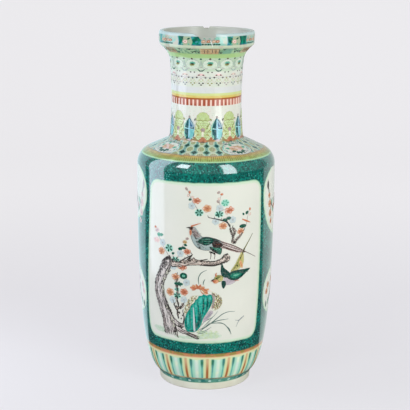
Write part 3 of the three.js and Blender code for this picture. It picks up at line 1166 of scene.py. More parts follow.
# %% [markdown]
# ## The front picture
# An old flowering tree leans up the left side, a crested bird sits on its side branch, another flies in,
# and a garden rock with grasses stands below. It is drawn in millimetres across from the middle of the
# vase and up from its foot: dark outlines first, then the fills, then the small marks.

# %% Tree


def limb(place, points, widths, seed, grain, knots, knot=3.4, wood="bark"):
    """A dark ridge under a lighter, narrower one. Both edges are rows of short bulging strokes, long dark
    lines run with the grain, and knots are pale rings that crowd towards the edges."""
    stroke("sepia", points, [w + 0.45 for w in widths], place, 0.04, 0.1)
    stroke(wood, points, widths, place, 0.12, 0.22)
    draw = np.random.default_rng(seed)
    path = flow(points, 200)
    along = np.concatenate([[0], np.cumsum(np.hypot(*np.diff(path, axis=0).T))])
    ahead = np.gradient(path, axis=0)
    ahead /= np.hypot(ahead[:, :1], ahead[:, 1:])
    width = np.interp(np.linspace(0, 1, 200), np.linspace(0, 1, len(widths)), widths)

    def spot(run, side):
        """Point at a run along the limb and a share of its half-width to the left."""
        at = [np.interp(run, along, path[:, k]) for k in (0, 1)]
        way = [np.interp(run, along, ahead[:, k]) for k in (0, 1)]
        w = side * np.interp(run, along, width)
        return at[0] - way[1] * w, at[1] + way[0] * w

    for side in (-1, 1):
        run = 0.0
        while run < along[-1] - knot:
            reach = knot * draw.uniform(0.7, 1.6)
            bulge = draw.uniform(1, 1.25)
            stroke("sepia", [spot(run, side * 0.94), spot(run + 0.5 * reach, side * bulge),
                spot(run + reach, side * 0.94)], [0.2, draw.uniform(0.5, 1.1), 0.2], place, 0.3, 0.08)
            run += reach * draw.uniform(0.8, 1.1)
    for _ in range(grain):
        run, side = draw.uniform(0, 0.9) * along[-1], draw.uniform(-0.85, 0.85)
        steps = run + np.array([0, 0.33, 0.66, 1]) * draw.uniform(4, 11)
        stroke("sepia", [spot(r, side + draw.uniform(-0.12, 0.12)) for r in steps],
               [0.12, draw.uniform(0.25, 0.7), 0.12], place, 0.32, 0.05)
    for _ in range(knots):
        side = draw.choice([-1, 1]) * draw.uniform(0.35, 0.95)
        heart = spot(draw.uniform(0.02, 0.98) * along[-1], side)
        size = draw.uniform(0.7, 1.5)
        outlined(wood, "sepia", oval(*heart, size * 0.75, size, draw.uniform(-0.8, 0.8), 9), place, 0.55,
            0.36, 0.06)
        pad("sepia", oval(*heart, 0.25 * size, 0.4 * size, 0, 6), place, 0.44, 0.04)


trunk_line = [(-49.5, 83), (-51, 89), (-52.4, 95), (-54.5, 105), (-58, 113), (-61.5, 121), (-65, 131),
    (-66.8, 140), (-65.5, 149), (-62.5, 156), (-59, 163), (-55.5, 170), (-51, 178), (-46, 184)]
trunk_girth = [8.4, 9.6, 9, 8.4, 7.8, 7.4, 7, 6.8, 6.6, 6.4, 6.3, 6.4, 6.2, 3]
twig_lines = [
    [(36, 203.5), (34, 208), (33.5, 214), (31, 220), (30, 226)],
    [(37, 203.5), (38.4, 207.6), (41.5, 210), (44.5, 213.5), (49, 219)],
    [(34, 213), (36.5, 218), (33.5, 225)],
    [(-40, 176), (-28, 184), (-17, 190.5)],
    [(30, 226), (26, 232), (18, 235), (10, 237), (3, 238.6)],
    [(-37, 104), (-38.6, 113), (-36.6, 122), (-38.6, 131), (-37.6, 142), (-38.6, 152), (-38, 163)],
    [(-36.8, 118), (-32, 121), (-30, 125)],
    [(-38, 114), (-42, 120), (-43.6, 126)],
    [(-31, 96), (-29, 106), (-31, 115)],
]
faint_lines = [
    [(-9, 246), (-15, 255), (-19, 262), (-22, 269), (-24, 275)],
    [(16, 244), (17, 252), (16, 260), (19, 268)],
    [(49, 219), (53, 226), (55, 236), (58, 246)],
    [(-47, 181), (-52, 189), (-57, 196), (-61, 203), (-67, 211)],
    [(-38, 180), (-35, 190), (-31, 199), (-26, 207)],
    [(16, 244), (21, 248), (27, 247)],
]


def swirl(place, across, up, size, turn, thick=0.8):
    """A brush spiral, the sign for a knot in old wood."""
    span = np.linspace(0.2, 5.6, 9)
    reach = size * (1 - 0.1 * np.arange(9) / 1.6)
    ring = np.stack([across + reach * np.cos(span + turn), up + 0.85 * reach * np.sin(span + turn)], -1)
    stroke("sepia", ring, [0.3, thick, 0.3], place, 0.36, 0.08)


def tree(place):
    """Limbs first, then twigs, then the dark and pale marks that make the bark look old."""
    limb(place, [(-40, 92), (-33, 87.5), (-24, 85), (-16, 81), (-9, 78.6)], [3, 2.4, 1.7, 1.2, 0.4], 1, 9,
        3, 2.6)
    limb(place, [(-50, 106), (-45, 102), (-40, 97.5), (-34, 94.6), (-30, 96)], [2, 2.2, 2.6, 3, 2.2], 6, 6, 4)
    limb(place, trunk_line, trunk_girth, 3, 84, 34)
    limb(place, [(-46, 176), (-38, 176.4), (-27, 178.6), (-18, 181), (-9, 180.4), (1, 179.6), (12, 180),
        (20, 182), (26, 186), (29, 189.5)], [3.4, 2.8, 2.8, 3.8, 2.8, 2.2, 2.4, 3, 4.6, 1.6], 4, 34, 22,
        2.6, "driftwood")
    strokes("sepia", twig_lines, [1, 0.85, 0.4], place, 0.1, 0.14)
    strokes("dove", faint_lines, [0.5, 0.4, 0.2], place, 0.06, 0.06)
    strokes("dove", ([(-70, 150), (-73, 140), (-71, 129), (-67, 120)],
        [(-66.4, 158), (-70.6, 149), (-72.6, 139)], [(-61, 108), (-60, 98), (-60.4, 88)],
        [(-50, 100), (-46, 95), (-43, 88)]), [0.6, 2, 0.8], place, 0.3, 0.05)
    strokes("umber", ([(-60, 143), (-57.4, 131), (-52.6, 120), (-47, 109)],
        [(-62, 166), (-58, 172), (-54, 178)]), [0.4, 1.1, 0.4], place, 0.34, 0.05)
    for x, y, size in ((-40, 120, 2.4), (-33.4, 118.6, 2.2), (-36, 112.4, 2.4), (-31, 109, 1.6),
            (-33, 104.6, 1.6), (-29.4, 103, 1.4), (-38.4, 127.4, 1.8), (-37.4, 157, 1.4), (-38.6, 148, 1.6),
            (33, 207.4, 1.8), (36.4, 206, 1.6), (41, 209.4, 1.2), (34.4, 221, 1.2), (31.6, 219, 1.4)):
        pad("sepia", oval(x, y, 0.7 * size, size, 0.4 * x, 9, 3, 0.3), place, 0.4, 0.1)
    draw = np.random.default_rng(12)
    inner = [x + 0.86 * w for (x, _), w in zip(trunk_line, trunk_girth)]
    trunk_heights = [y for _, y in trunk_line]
    for height in np.arange(93, 170, 2.6):
        edge = np.interp(height, trunk_heights, inner) + draw.uniform(-1.4, 1.4)
        size = draw.uniform(1, 2.1)
        outlined("cream" if draw.random() < 0.6 else "bark", "sepia",
            oval(edge, height, 0.7 * size, size, 0.5, 9), place, draw.uniform(0.5, 0.9), 0.36, 0.06)
        pad("sepia", oval(edge, height, 0.24 * size, 0.36 * size, 0.3, 7), place, 0.44, 0.05)
    for x, y, size, turn in ((-57, 174, 3, 0.4), (-53, 177.6, 2.2, 2), (-60.6, 166, 2.4, 1),
            (-63.4, 157, 2, 0.2), (-50, 182.4, 2.6, 3.4), (-35, 95.4, 3.4, 1.2), (-20, 183, 3, 0.3),
            (-12, 182.4, 2.2, 2.4), (27, 187, 4, 0.9), (24.4, 183, 2.2, 3), (-27, 179, 2, 1.8),
            (-6, 183, 1.8, 0.8)):
        swirl(place, x, y, size, turn)
        pad("sepia", oval(x, y, 0.3 * size, 0.3 * size, 0, 7), place, 0.38, 0.05)
    shares = np.linspace(0, 1, len(trunk_line))
    for k in range(64):
        run = draw.uniform(0, 1)
        x, y = (np.interp(run, shares, [point[k] for point in trunk_line]) for k in (0, 1))
        reach = np.interp(run, shares, trunk_girth)
        side = draw.choice([-1, 1]) * draw.uniform(0.4, 0.98) * reach
        curve_way = draw.choice([-1, 1])
        high = draw.uniform(1.6, 3.6)
        stroke("sepia" if k % 3 else "umber", [(x + side, y - high), (x + side + curve_way * 1.3, y),
            (x + side, y + high)], [0.2, draw.uniform(0.5, 1), 0.2], place, 0.38, 0.07)
    for x, y, size in ((-30, 181, 2.4), (-23, 179, 2), (-15.6, 184.6, 2.2), (-4, 178.6, 1.7),
            (3, 181.4, 1.8), (9, 178.8, 1.6), (15.6, 182.4, 2), (20.4, 180.4, 1.7), (28.6, 184.6, 2.4),
            (24, 189, 1.9), (-41, 178.6, 2.2), (-34.6, 175.6, 1.7)):
        outlined("driftwood", "sepia", oval(x, y, size, 0.7 * size, 0.5 * x, 10, 3, 0.2), place, 0.6, 0.34,
            0.08)
        stroke("umber", [(x - 0.9 * size, y - 0.3), (x, y + 0.5 * size), (x + 0.8 * size, y)],
            [0.2, 0.6, 0.2], place, 0.42, 0.06)
    for line, width in (([(-60, 178), (-54, 181), (-47, 185)], 2),
            ([(-55, 182.6), (-50, 183), (-44, 181)], 1.7),
            ([(-10, 177.8), (4, 177), (15, 178.2), (23, 181.2)], 1.6),
            ([(-8, 182.8), (-3, 184), (2, 185.4)], 0.7),
            ([(-60, 142), (-58, 130), (-52, 116), (-44, 103)], 1.3),
            ([(-24, 184), (-20, 187), (-17.4, 190)], 1), ([(-37, 94.4), (-34, 92.6), (-30.6, 94)], 1.4),
            ([(20, 184), (24, 190), (28, 191.6)], 0.9), ([(-57, 170), (-51, 165), (-47, 167)], 0.9)):
        stroke("sepia", line, [0.4, width, 0.4], place, 0.34, 0.08)
    for x in range(-59, -40, 3):
        stroke("sepia", [(x, 80), (x + 1.4, 85), (x - 0.2, 92)], [0.2, 0.55, 0.15], place, 0.34, 0.06)
    strokes("brown", ([(-38, 90), (-30, 86.6), (-20, 84)], [(-30, 84.6), (-20, 81.6), (-11, 77.8)],
        [(-24, 86), (-16, 83.6), (-8, 81)], [(-40, 84), (-40, 80), (-38, 77.6)]), [0.5, 0.9, 0.3], place,
        0.3, 0.06)
    for twig in twig_lines[:3] + twig_lines[5:7]:
        for x, y in flow(twig, 9)[1:-1]:
            size = draw.uniform(1, 1.8)
            outlined("driftwood", "sepia", oval(x + draw.uniform(-1, 1), y, 0.7 * size, size,
                draw.uniform(0, 3), 8), place, 0.6, 0.2, 0.08)
            stroke("sepia", [(x - 1.4, y - 1), (x + 0.4, y), (x + 1, y + 1.6)], [0.2, 0.7, 0.2], place, 0.3,
                0.06)
    for twig in twig_lines:
        for x, y in flow(twig, 5)[1:]:
            lean = draw.uniform(-1, 1)
            stroke("sepia", [(x, y), (x + 1.4 * lean, y + 1.2), (x + 2.2 * lean, y + 2.8)], [0.5, 0.4, 0.2],
                place, 0.12, 0.1)


red_heads = [(-12, 259.5, 5.8, "coral", 0.5, 0.05), (1, 250, 5.8, "orange", 0.8, 0.1),
    (29, 247, 6.6, "coral", 0.5, 0.32), (21, 227.5, 5.8, "orange", 0.72, 0),
    (45, 218.6, 5.2, "orange", 0.75, 0.1), (-61, 190.5, 5.4, "orange", 0.9, 0.3),
    (-24, 193.8, 5, "coral", 0.66, 0.05), (-30.5, 173.5, 6.2, "coral", 0.6, 0),
    (-40, 159.6, 6.2, "orange", 0.6, 0), (-48.5, 138.2, 6, "orange", 0.84, 0),
    (-28.5, 140.6, 5.6, "coral", 0.82, 0),]
green_heads = [
    (-9, 244.6, 5.4, 0.9, 6), (16, 242.8, 5.6, 0.8, 6), (-49, 196, 5.8, 0.9, 5), (-40, 182, 5.8, 0.66, 6),
    (-36, 150.6, 6.4, 0.4, 5), (-38, 135, 5.2, 0.8, 6), (-38.4, 143, 3.6, 0.7, 5),
]
pale_heads = [(-18, 253), (33.5, 234.6), (11.6, 233.6), (-59, 201.6), (-43, 173), (-45, 128.2),
    (-29, 130.2), (-33, 190.8), (-25, 153.4), (16.4, 250)]


def blossoms(place):
    """Pale heads first, then green and red ones over them, then leaves and buds."""
    for k, (x, y) in enumerate(pale_heads):
        pale_blossom(place, x, y, 4.8, 0.4 * k)
    for k, (x, y, size, flat, count) in enumerate(green_heads):
        green_blossom(place, x, y, size, 0.35 * k, count, "deep_green", flat)
    for k, (x, y, size, paint, flat, tilt) in enumerate(red_heads):
        red_blossom(place, x, y, size, 0.5 * k, paint, "iron_red", flat, tilt)
    outlined("deep_green", "black", oval(-29, 161.8, 4.8, 4, 0.1, 14), place, 0.3, 0.2, 0.2)
    outlined("leaf_green", "deep_green", oval(-28.8, 162, 2.2, 1.5, 0.1, 10), place, 0.4, 0.38, 0.06)
    green_blossom(place, 23.5, 256.6, 5.2, 0.1, 6, "leaf_green", 0.9)
    for x, y, wide, high, turn in ((48, 225, 4.8, 2.2, 0), (23.4, 235, 2.6, 1.7, -0.2),
            (28.2, 237, 2.8, 1.8, 0.1), (-36, 150.6, 5.8, 1.9, 0.04), (-33, 197, 2.8, 1.7, 0.2),
            (-28.6, 198.4, 2.8, 1.5, -0.2)):
        outlined("deep_green", "black", oval(x, y, wide, high, turn, 12), place, 0.4, 0.2, 0.16)
    for x, y, turn, length in ((52, 240, 0.7, 5), (49.6, 239, 2.2, 3.4), (-22, 260.4, 0.2, 3.6),
            (-45, 189, 0.4, 4), (-68, 211, 0.05, 7), (-63, 211, 0.2, 5), (12, 241, 0.4, 3.6),
            (-28, 203, -0.4, 4)):
        leaf(place, x, y, length, turn, "leaf_green" if x < -60 else "deep_green", 0.36)
    red_blossom(place, -69, 203.6, 5.4, 0.2, "pink", "pink", 0.5)
    red_blossom(place, -68, 216.6, 3.8, 0.9, "pink", "lilac", 0.5, 0.4)
    red_blossom(place, -27, 206.2, 3.2, 0.9, "gold", "ochre", 0.6)
    stroke("coral", [(47, 234), (53, 231.2), (59.4, 228.4)], [0.6, 1.3, 0.5], place, 0.1, 0.1)
    for k, (x, y) in enumerate(((59, 239), (58.6, 245.6), (14.4, 258.6), (15.6, 262), (19, 267.6),
            (15, 270), (-22.6, 266), (-21, 270), (-25, 274), (-17, 264), (-71, 220), (-24, 210.6),
            (26, 243))):
        bud(place, x, y, 1.6 + 0.2 * (k % 3), 1.2 + 0.5 * k, ("peach", "coral", "dove")[k % 3])


print("tree:", len(twig_lines) + len(faint_lines), "twigs,", len(red_heads) + len(green_heads),
    "bright heads")

# %% [markdown]
# ## The perched bird
# A bird is a few flat shapes that overlap like feathers: tail, body, wing, head. Each shape is lifted a
# little more than the one under it, as layers of paint are.

# %% Perched bird


def perched_bird(place):
    """From the tail to the head, because each part lies over the one before it."""
    outlined("tail", "brown", loop([(14, 209.5), (22, 207.2), (33, 202.5), (43, 197.5), (53, 191.2),
        (47, 190.6), (40, 191.6), (33, 194.4), (26, 197.2), (19, 199.6)], 36), place, 0.3, 0.06, 0.12)
    strokes("brown", ([(18, 207.6), (36, 200.6), (53, 191.2), (70, 182)],
        [(17, 205.6), (34, 198.6), (52, 191)], [(17, 203.6), (32, 196.8), (48, 190.9)],
        [(17, 201.6), (30, 196.6), (42, 192)], [(24, 199), (38, 194), (52, 190.6)]), [0.55, 0.5, 0.25],
        place, 0.2, 0.07)
    for x in np.linspace(18, 42, 8):
        y = 206.8 - 0.42 * (x - 18)
        stroke("dove", [(x, y), (x + 2.4, y - 1.8), (x + 2.8, y - 4.8)], [0.25, 0.6, 0.15], place, 0.24, 0.05)
    outlined("grey", "sepia", loop([(-19.5, 221), (-17, 226), (-13, 225), (-9.5, 220), (-5.5, 214),
        (2, 213), (10, 212), (18, 208.5), (21, 203.5), (14, 199), (5, 197), (-2, 196.8), (-9, 198.8),
        (-14, 203), (-17.5, 209), (-19.2, 215)], 40), place, 0.4, 0.16, 0.3)
    pad("dove", loop([(-17.4, 224.6), (-13.6, 224), (-10.2, 219.6), (-6.4, 214), (-12, 212.6), (-17, 216)],
        18), place, 0.42, 0.1)
    draw = np.random.default_rng(21)
    for _ in range(120):
        y = draw.uniform(199, 221)
        x = -18 + (221 - y) * 0.4 + draw.uniform(0, 1) ** 2 * 10
        stroke("sepia", [(x, y), (x + 0.9, y - 0.5), (x + 1.5, y + 0.3)], [0.08, 0.22, 0.08], place, 0.54,
            0.04)
    outlined("wing", "black", loop([(-10.5, 207.5), (-6, 212), (-1, 213.4), (5, 213), (9, 211.6),
        (9.6, 208.5), (6, 205.5), (0, 203.4), (-5, 204.6)], 26), place, 0.6, 0.46, 0.18)
    strokes("leaf_green", ([(-6, 209.8), (0, 211), (7, 210.4)], [(-7, 207.4), (0, 208.4), (7, 208.2)],
        [(-3, 205.4), (1, 205.8), (5, 206)]), [0.08, 0.22, 0.08], place, 0.66, 0.04)
    outlined("umber", "black", loop([(8, 206.5), (12, 208), (17, 206.5), (20.6, 203.4), (18, 200.6),
        (12, 200), (8.4, 202.4)], 18), place, 0.5, 0.5)
    strokes("black", ([(9, 211.4), (14, 209.8), (19, 207.6)], [(8, 209.4), (13, 208.6), (17, 207)]),
        [0.8, 0.7, 0.3], place, 0.5, 0.06)
    for x in (12, 15):
        stroke("iron_red", [(x, 204.4), (x + 2.2, 203.2)], [0.25, 0.1], place, 0.68, 0.04)
    outlined("deep_green", "black", loop([(4.5, 201), (11, 200.2), (18.6, 199.4), (19.4, 195.4),
        (17.6, 191.2), (13, 193), (8.5, 196.4)], 18), place, 0.45, 0.46)
    stroke("black", [(4.6, 200.6), (9, 196.4), (14, 193)], [0.6, 1.5, 0.5], place, 0.6, 0.06)
    strokes("leaf_green", ([(9, 199), (13, 197.6), (17, 195)], [(12, 199.4), (16, 198), (18.4, 196)]),
        [0.1, 0.35, 0.1], place, 0.66, 0.05)
    stroke("black", [(3.6, 194.8), (7.5, 193.8), (11.4, 191)], [0.6, 1.2, 0.4], place, 0.24, 0.1)
    for x in (5.6, 10.6):
        stroke("brown", [(x, 193.6), (x + 0.6, 190), (x - 0.4, 185)], [0.6, 0.4, 0.3], place, 0.2, 0.1)
    outlined("brown", "sepia", oval(-18.4, 224, 2.6, 2.3, 0.5, 12), place, 0.3, 0.36, 0.16)
    stroke("sepia", [(-20, 225), (-22.6, 225.2), (-25.2, 224.8)], [1.1, 0.7, 0.12], place, 0.5, 0.1)
    pad("coral", loop([(-20.4, 222.4), (-18.4, 221.8), (-18, 217.8), (-19.6, 215), (-21, 218.5)], 12),
        place, 0.56)
    stroke("iron_red", [(-19.8, 221), (-19, 218)], [0.5, 0.2], place, 0.7, 0.05)
    stroke("coral", [(-19, 227), (-13, 229.2), (-6.6, 231.6)], [0.9, 0.75, 0.2], place, 0.42, 0.1)
    pad("black", oval(-18.2, 224.8, 0.7, 0.7, 0, 7), place, 0.58, 0.08)


print("drawn by:", perched_bird.__name__)

# %% [markdown]
# ## The flying bird
# It dives with its back to us, so both wings show their upper side and the long tail trails above. Its
# near wing has a second, lighter shape inside the first, as a folded wing has.

# %% Flying bird


def flying_bird(place):
    """The tail, the far wing, the body, the near wing and the head, each over the last."""
    for tail in ([(33, 168), (41, 178), (46.5, 186.5), (51, 195), (58, 205), (64, 213.6)],
            [(35, 168), (44, 180), (50.6, 193.6)]):
        stroke("olive", tail, [1.2, 1.2, 0.25], place, 0.1, 0.12)
        stroke("sepia", tail, [0.3, 0.45, 0.2], place, 0.24, 0.06)
    outlined("gold", "olive", loop([(32, 168.5), (38, 176), (43.5, 186), (46.4, 191), (49.4, 190),
        (50.4, 183), (49.5, 176), (45, 171), (38, 168)], 22), place, 0.4, 0.16, 0.16)
    for x, y in ((36, 170), (38.6, 173), (41, 177), (44, 181), (42.6, 172), (40, 170.6)):
        stroke("olive", [(x, y), (x + 1.6, y + 3), (x + 2, y + 6)], [0.2, 0.8, 0.2], place, 0.36, 0.06)
    for x, y in ((45, 184), (41, 174.4), (50.8, 195)):
        pad("sepia", oval(x, y, 1, 1.2, 0.4, 7), place, 0.44, 0.06)
    pad("orange", oval(46.6, 175.6, 2.2, 5.6, 0.35, 10), place, 0.38, 0.08)
    outlined("lilac", "slate", loop([(23, 157), (25, 160.5), (30, 158.6), (38, 156.4), (43.4, 156.4),
        (36, 152), (29, 150.4), (24.5, 152.6)], 22), place, 0.3, 0.2, 0.22)
    for k in range(7):
        stroke("slate", [(25 + 2.2 * k, 156.4), (26.2 + 2.2 * k, 154)], [0.2, 0.1], place, 0.46, 0.04)
    outlined("wing", "black", loop([(20, 179.6), (22.5, 173.5), (26.5, 169.5), (30, 166.5), (29.5, 161.5),
        (24, 161), (19.5, 166.5)], 18), place, 0.6, 0.38)
    outlined("wing", "black", loop([(20.6, 155.5), (25, 155), (25.5, 151), (23, 146.2), (21, 149.5)], 12),
        place, 0.5, 0.38)
    outlined("wing", "black", loop([(28, 160.5), (30, 165), (35, 167.5), (42, 168), (50, 168.2),
        (60.6, 168.4), (54, 163.5), (47, 159), (39, 156), (32, 157.4)], 24), place, 0.8, 0.42, 0.18)
    outlined("inner_wing", "black", loop([(31, 162), (35, 165.2), (43, 165.2), (48.6, 163.4), (44, 159.6),
        (36, 158)], 16), place, 0.3, 0.6, 0.08)
    pad("leaf_green", loop([(35.6, 162), (39, 163.4), (43.4, 162.6), (40, 161.2)], 12), place, 0.72, 0.06)
    for x in (44, 47.4, 50.8, 54.2):
        stroke("deep_green", [(x, 167), (x + 2.4, 165.4), (x + 3.2, 163.8)], [0.35, 0.3, 0.1], place, 0.66,
            0.04)
    outlined("olive", "sepia", oval(16.4, 159.6, 5.8, 4.4, 0.1, 14), place, 0.3, 0.3, 0.18)
    for k in range(10):
        x, y = 12.6 + 0.9 * k, 162.6 - 0.7 * abs(k - 4)
        stroke("sepia", [(x, y), (x + 0.8, y - 1.6)], [0.3, 0.12], place, 0.5, 0.04)
    pad("gold", oval(19, 158.6, 3.2, 2.8, 0.3, 10), place, 0.5, 0.08)
    pad("coral", oval(12.6, 155.8, 3.6, 2.6, 0.1, 11), place, 0.52, 0.12)
    pad("orange", oval(13.6, 155.2, 1.8, 1.2, 0.2, 8), place, 0.66, 0.06)
    pad("iron_red", oval(9.6, 156.4, 1.4, 1.4, 0, 8), place, 0.6, 0.08)
    stroke("coral", [(13, 162.4), (12.4, 165), (13.6, 167.4)], [1.2, 0.9, 0.2], place, 0.46, 0.08)
    stroke("sepia", [(10.6, 158.6), (8.2, 157.6), (6.2, 156)], [1, 0.7, 0.12], place, 0.56, 0.08)
    pad("black", oval(13.4, 160, 0.8, 0.7, 0, 7), place, 0.64, 0.08)
    for x in (38, 41.6):
        stroke("coral", [(x, 155), (x + 3, 155)], [0.6, 0.2], place, 0.4, 0.06)


print("drawn by:", flying_bird.__name__)

# %% [markdown]
# ## Rock, grasses and ground
# The rock is a garden stone with holes, so its speckles are drawn at random inside an outline, from a
# fixed seed. Grasses are single strokes that taper at both ends, as the brush leaves them.

# %% Rock, grasses and ground


def speckled(place, outline, count, seed):
    """A pale porous stone: a thin outline filled with dark and olive specks."""
    outlined("cream", "olive", loop(outline, 30), place, 0.3, 0.08, 0.12)
    draw = np.random.default_rng(seed)
    corners = np.array(outline)
    heart = corners.mean(axis=0)
    for _ in range(count):
        k, f, reach = draw.integers(len(corners)), draw.random(), draw.random() ** 0.5 * 0.98
        x, y = heart + reach * (corners[k - 1] + f * (corners[k] - corners[k - 1]) - heart)
        paint = ("sepia", "olive", "ochre", "brown", "olive")[int(draw.integers(5))]
        pad(paint, oval(x, y, draw.uniform(0.4, 0.95), draw.uniform(0.35, 0.7), draw.uniform(0, 3), 6),
            place, 0.24, 0.05)


def rock(place):
    """Speckled stones behind, then a scalloped teal mass with bright planes, dark folds and a streak."""
    speckled(place, [(8, 141), (12, 140.4), (16, 137.8), (20, 134), (21.6, 128.6), (19.6, 122.6),
        (15, 118.4), (10, 118), (7, 124)], 240, 5)
    speckled(place, [(-10, 137), (-14, 136.8), (-19, 135.4), (-22.4, 131), (-25.4, 125), (-28.2, 118),
        (-29, 111.6), (-25, 112), (-19.6, 121), (-14.6, 128)], 130, 6)
    outlined("lilac", "dove", oval(10, 136.4, 2.6, 4.4, 0.2, 12), place, 0.3, 0.16, 0.1)
    outlined("lilac", "dove", loop([(8, 117), (9.6, 114), (5, 108), (-1, 102), (-4.4, 104), (0, 110),
        (4, 116)], 18), place, 0.3)
    strokes("slate", ([(7, 116), (3, 110), (-3, 104)], [(8.6, 114.4), (5, 110), (0, 105)]),
        [0.15, 0.35, 0.15], place, 0.26, 0.05)
    mass = [(-14, 88), (-19, 87.5), (-25, 88), (-28, 93), (-28.6, 100), (-27.2, 107), (-25, 113),
        (-22, 117.6), (-20.4, 121.4), (-18.6, 124.4), (-15.2, 127), (-13.6, 130.6), (-10.6, 132.8),
        (-9, 136.4), (-5.4, 136.6), (-3, 138.8), (1, 137.2), (4.6, 138.8), (8.2, 137), (9, 131), (7, 124.4),
        (3.6, 118), (0, 112), (-3.6, 106), (-5.6, 99), (-9, 93)]
    outlined("rock_teal", "rock_dark", loop(mass, 64), place, 0.3, 0.2, 0.5)
    for x, y, wide, high, turn in ((-23.6, 104, 1.7, 7.5, -0.1), (-13, 122, 1.2, 6, -0.1),
            (-6.6, 130.6, 2, 5, -0.2), (-0.4, 133, 0.8, 4, 0), (5.6, 134, 1.2, 3.2, 0.1)):
        pad("rock_light", oval(x, y, wide, high, turn, 16), place, 0.6, 0.06)
    for line, width in (([(-10.4, 128), (-9.6, 118), (-10.4, 104)], 1.2),
            ([(-7.4, 118), (-7.6, 106), (-11.4, 93)], 2.6), ([(-3.4, 135), (-2.8, 124), (-4.6, 111)], 1.5),
            ([(2.2, 135), (2.4, 126), (0, 115)], 1.5), ([(-20.6, 119), (-20.8, 108), (-20.4, 94)], 0.8),
            ([(-26, 108), (-26.2, 100), (-25, 91)], 0.7), ([(6.8, 133), (6.4, 128), (4.6, 122)], 0.9),
            ([(-22, 90), (-18, 89.4), (-12, 90.4)], 1)):
        stroke("rock_dark", line, [0.3, width, 0.3], place, 0.66, 0.08)
    pad("rock_dark", oval(-9.6, 100, 2.6, 7.6, -0.45, 14), place, 0.6, 0.06)
    stroke("dove", [(8.8, 139), (10.4, 133), (9.8, 126), (8.2, 119.6)], [0.5, 1.5, 0.5], place, 0.4, 0.08)
    stroke("ash", [(-16, 121), (-15.6, 108), (-15.2, 97), (-14.8, 88.6)], [0.4, 0.95, 1.35, 1.2], place,
        0.72, 0.12)
    stroke("rock_dark", [(-14.2, 117), (-13.4, 104), (-13, 92)], [0.2, 0.7, 0.5], place, 0.7, 0.06)


def ground(place):
    """Pale green washes with short blades, and long grasses in front of the rock."""
    for x, y, wide, high in ((-70, 85.6, 13, 3.4), (-64, 83, 15, 2.6), (4, 84, 17, 4.4),
            (10, 81.6, 14, 3.4), (-14, 80, 18, 3.2), (-4, 87.6, 9, 2.6), (-32, 79, 14, 2.4)):
        pad("wash", oval(x, y, wide, high, 0.02, 34, 7, 0.14), place, 0.02, 0.02)
    draw = np.random.default_rng(31)
    for _ in range(70):
        x, y = draw.uniform(-12, 16), draw.uniform(78, 89)
        stroke("sage", [(x, y), (x + 1.2, y + 0.9), (x + 2.6, y + 1.1)], [0.1, 0.35, 0.1], place, 0.06, 0.05)
    strokes("blade", ([(-9, 152), (-9.6, 160), (-6, 167), (1, 171)], [(-3.5, 151), (-3, 155.4), (-1, 159)],
        [(-8, 89), (4, 97.5), (13, 104.6), (22, 111.4), (31, 114.2), (40, 113.6)],
        [(4, 98), (15.5, 103), (31, 104.6)], [(8, 99.8), (20, 99.8), (28, 95.4), (36, 83.4)],
        [(-6, 90), (2, 97), (6, 101)]), [0.3, 0.6, 0.5, 0.2], place, 0.1, 0.06)
    strokes("blade", ([(-11, 90), (-4, 93), (4, 97.4)], [(-9, 87.4), (0, 90), (8, 95)],
        [(-6, 97), (0, 103.4), (9, 108), (16, 116)], [(-4, 94), (3, 101), (10, 109)],
        [(-12, 87), (-6, 86), (2, 89)]), [0.2, 0.5, 0.15], place, 0.1, 0.06)
    stroke("blade", [(29, 94.6), (33, 90), (36, 83)], [0.3, 0.9, 0.3], place, 0.12, 0.08)
    strokes("slate", ([(43, 92), (46, 98.5), (51, 103.6), (55, 105.6)],
        [(41, 101.6), (47, 100.6), (54.6, 104.6)]), [0.2, 0.45, 0.2], place, 0.1, 0.06)


def petal(place, x, y, turn, size, paint):
    """One long petal from its foot, with a dark vein."""
    c, s = math.cos(turn), math.sin(turn)
    outlined(paint, "iron_red", oval(x + 0.5 * size * c, y + 0.5 * size * s, 0.55 * size, 0.23 * size, turn,
        11), place, 0.35, 0.16)
    stroke("iron_red", [(x, y), (x + 0.8 * size * c, y + 0.8 * size * s)], [0.3, 0.12], place, 0.32, 0.05)


def peonies(place):
    """One spray of long iron-red petals on the top of the rock, its right half hanging lower."""
    outlined("coral", "iron_red", oval(-11, 147.8, 8.6, 2.3, 0.04, 20, 9, 0.12), place, 0.25, 0.1, 0.1)
    outlined("coral", "iron_red", oval(-2.6, 143.2, 6, 2.8, -0.6, 20, 7, 0.12), place, 0.25, 0.1, 0.1)
    for k, (x, y, turn, size) in enumerate(((-12, 146.6, 3.05, 8), (-12, 147.4, 2.6, 6),
            (-10.5, 147.6, 2, 4.6), (-9, 147.6, 1, 4.6), (-8, 146.8, 0.3, 6), (-12.6, 146.2, 3.5, 5.4),
            (-8.6, 146.6, -0.5, 4.6), (-5, 145, -0.8, 7.6), (-3.6, 145.6, -0.3, 7), (-6, 144.6, -1.1, 5.6),
            (-2, 144, 0.3, 6), (-1.6, 142.6, -0.6, 5), (-6.6, 146, 0.4, 5))):
        petal(place, x, y, turn, size, ("coral", "orange", "coral")[k % 3])
    stroke("cream", [(-6.6, 145), (-4.4, 142.6), (-2.4, 140.4)], [0.3, 0.9, 0.3], place, 0.5, 0.06)
    stroke("peach", [(1.6, 143.6), (5, 144), (8, 142.6)], [0.4, 0.9, 0.3], place, 0.3, 0.06)


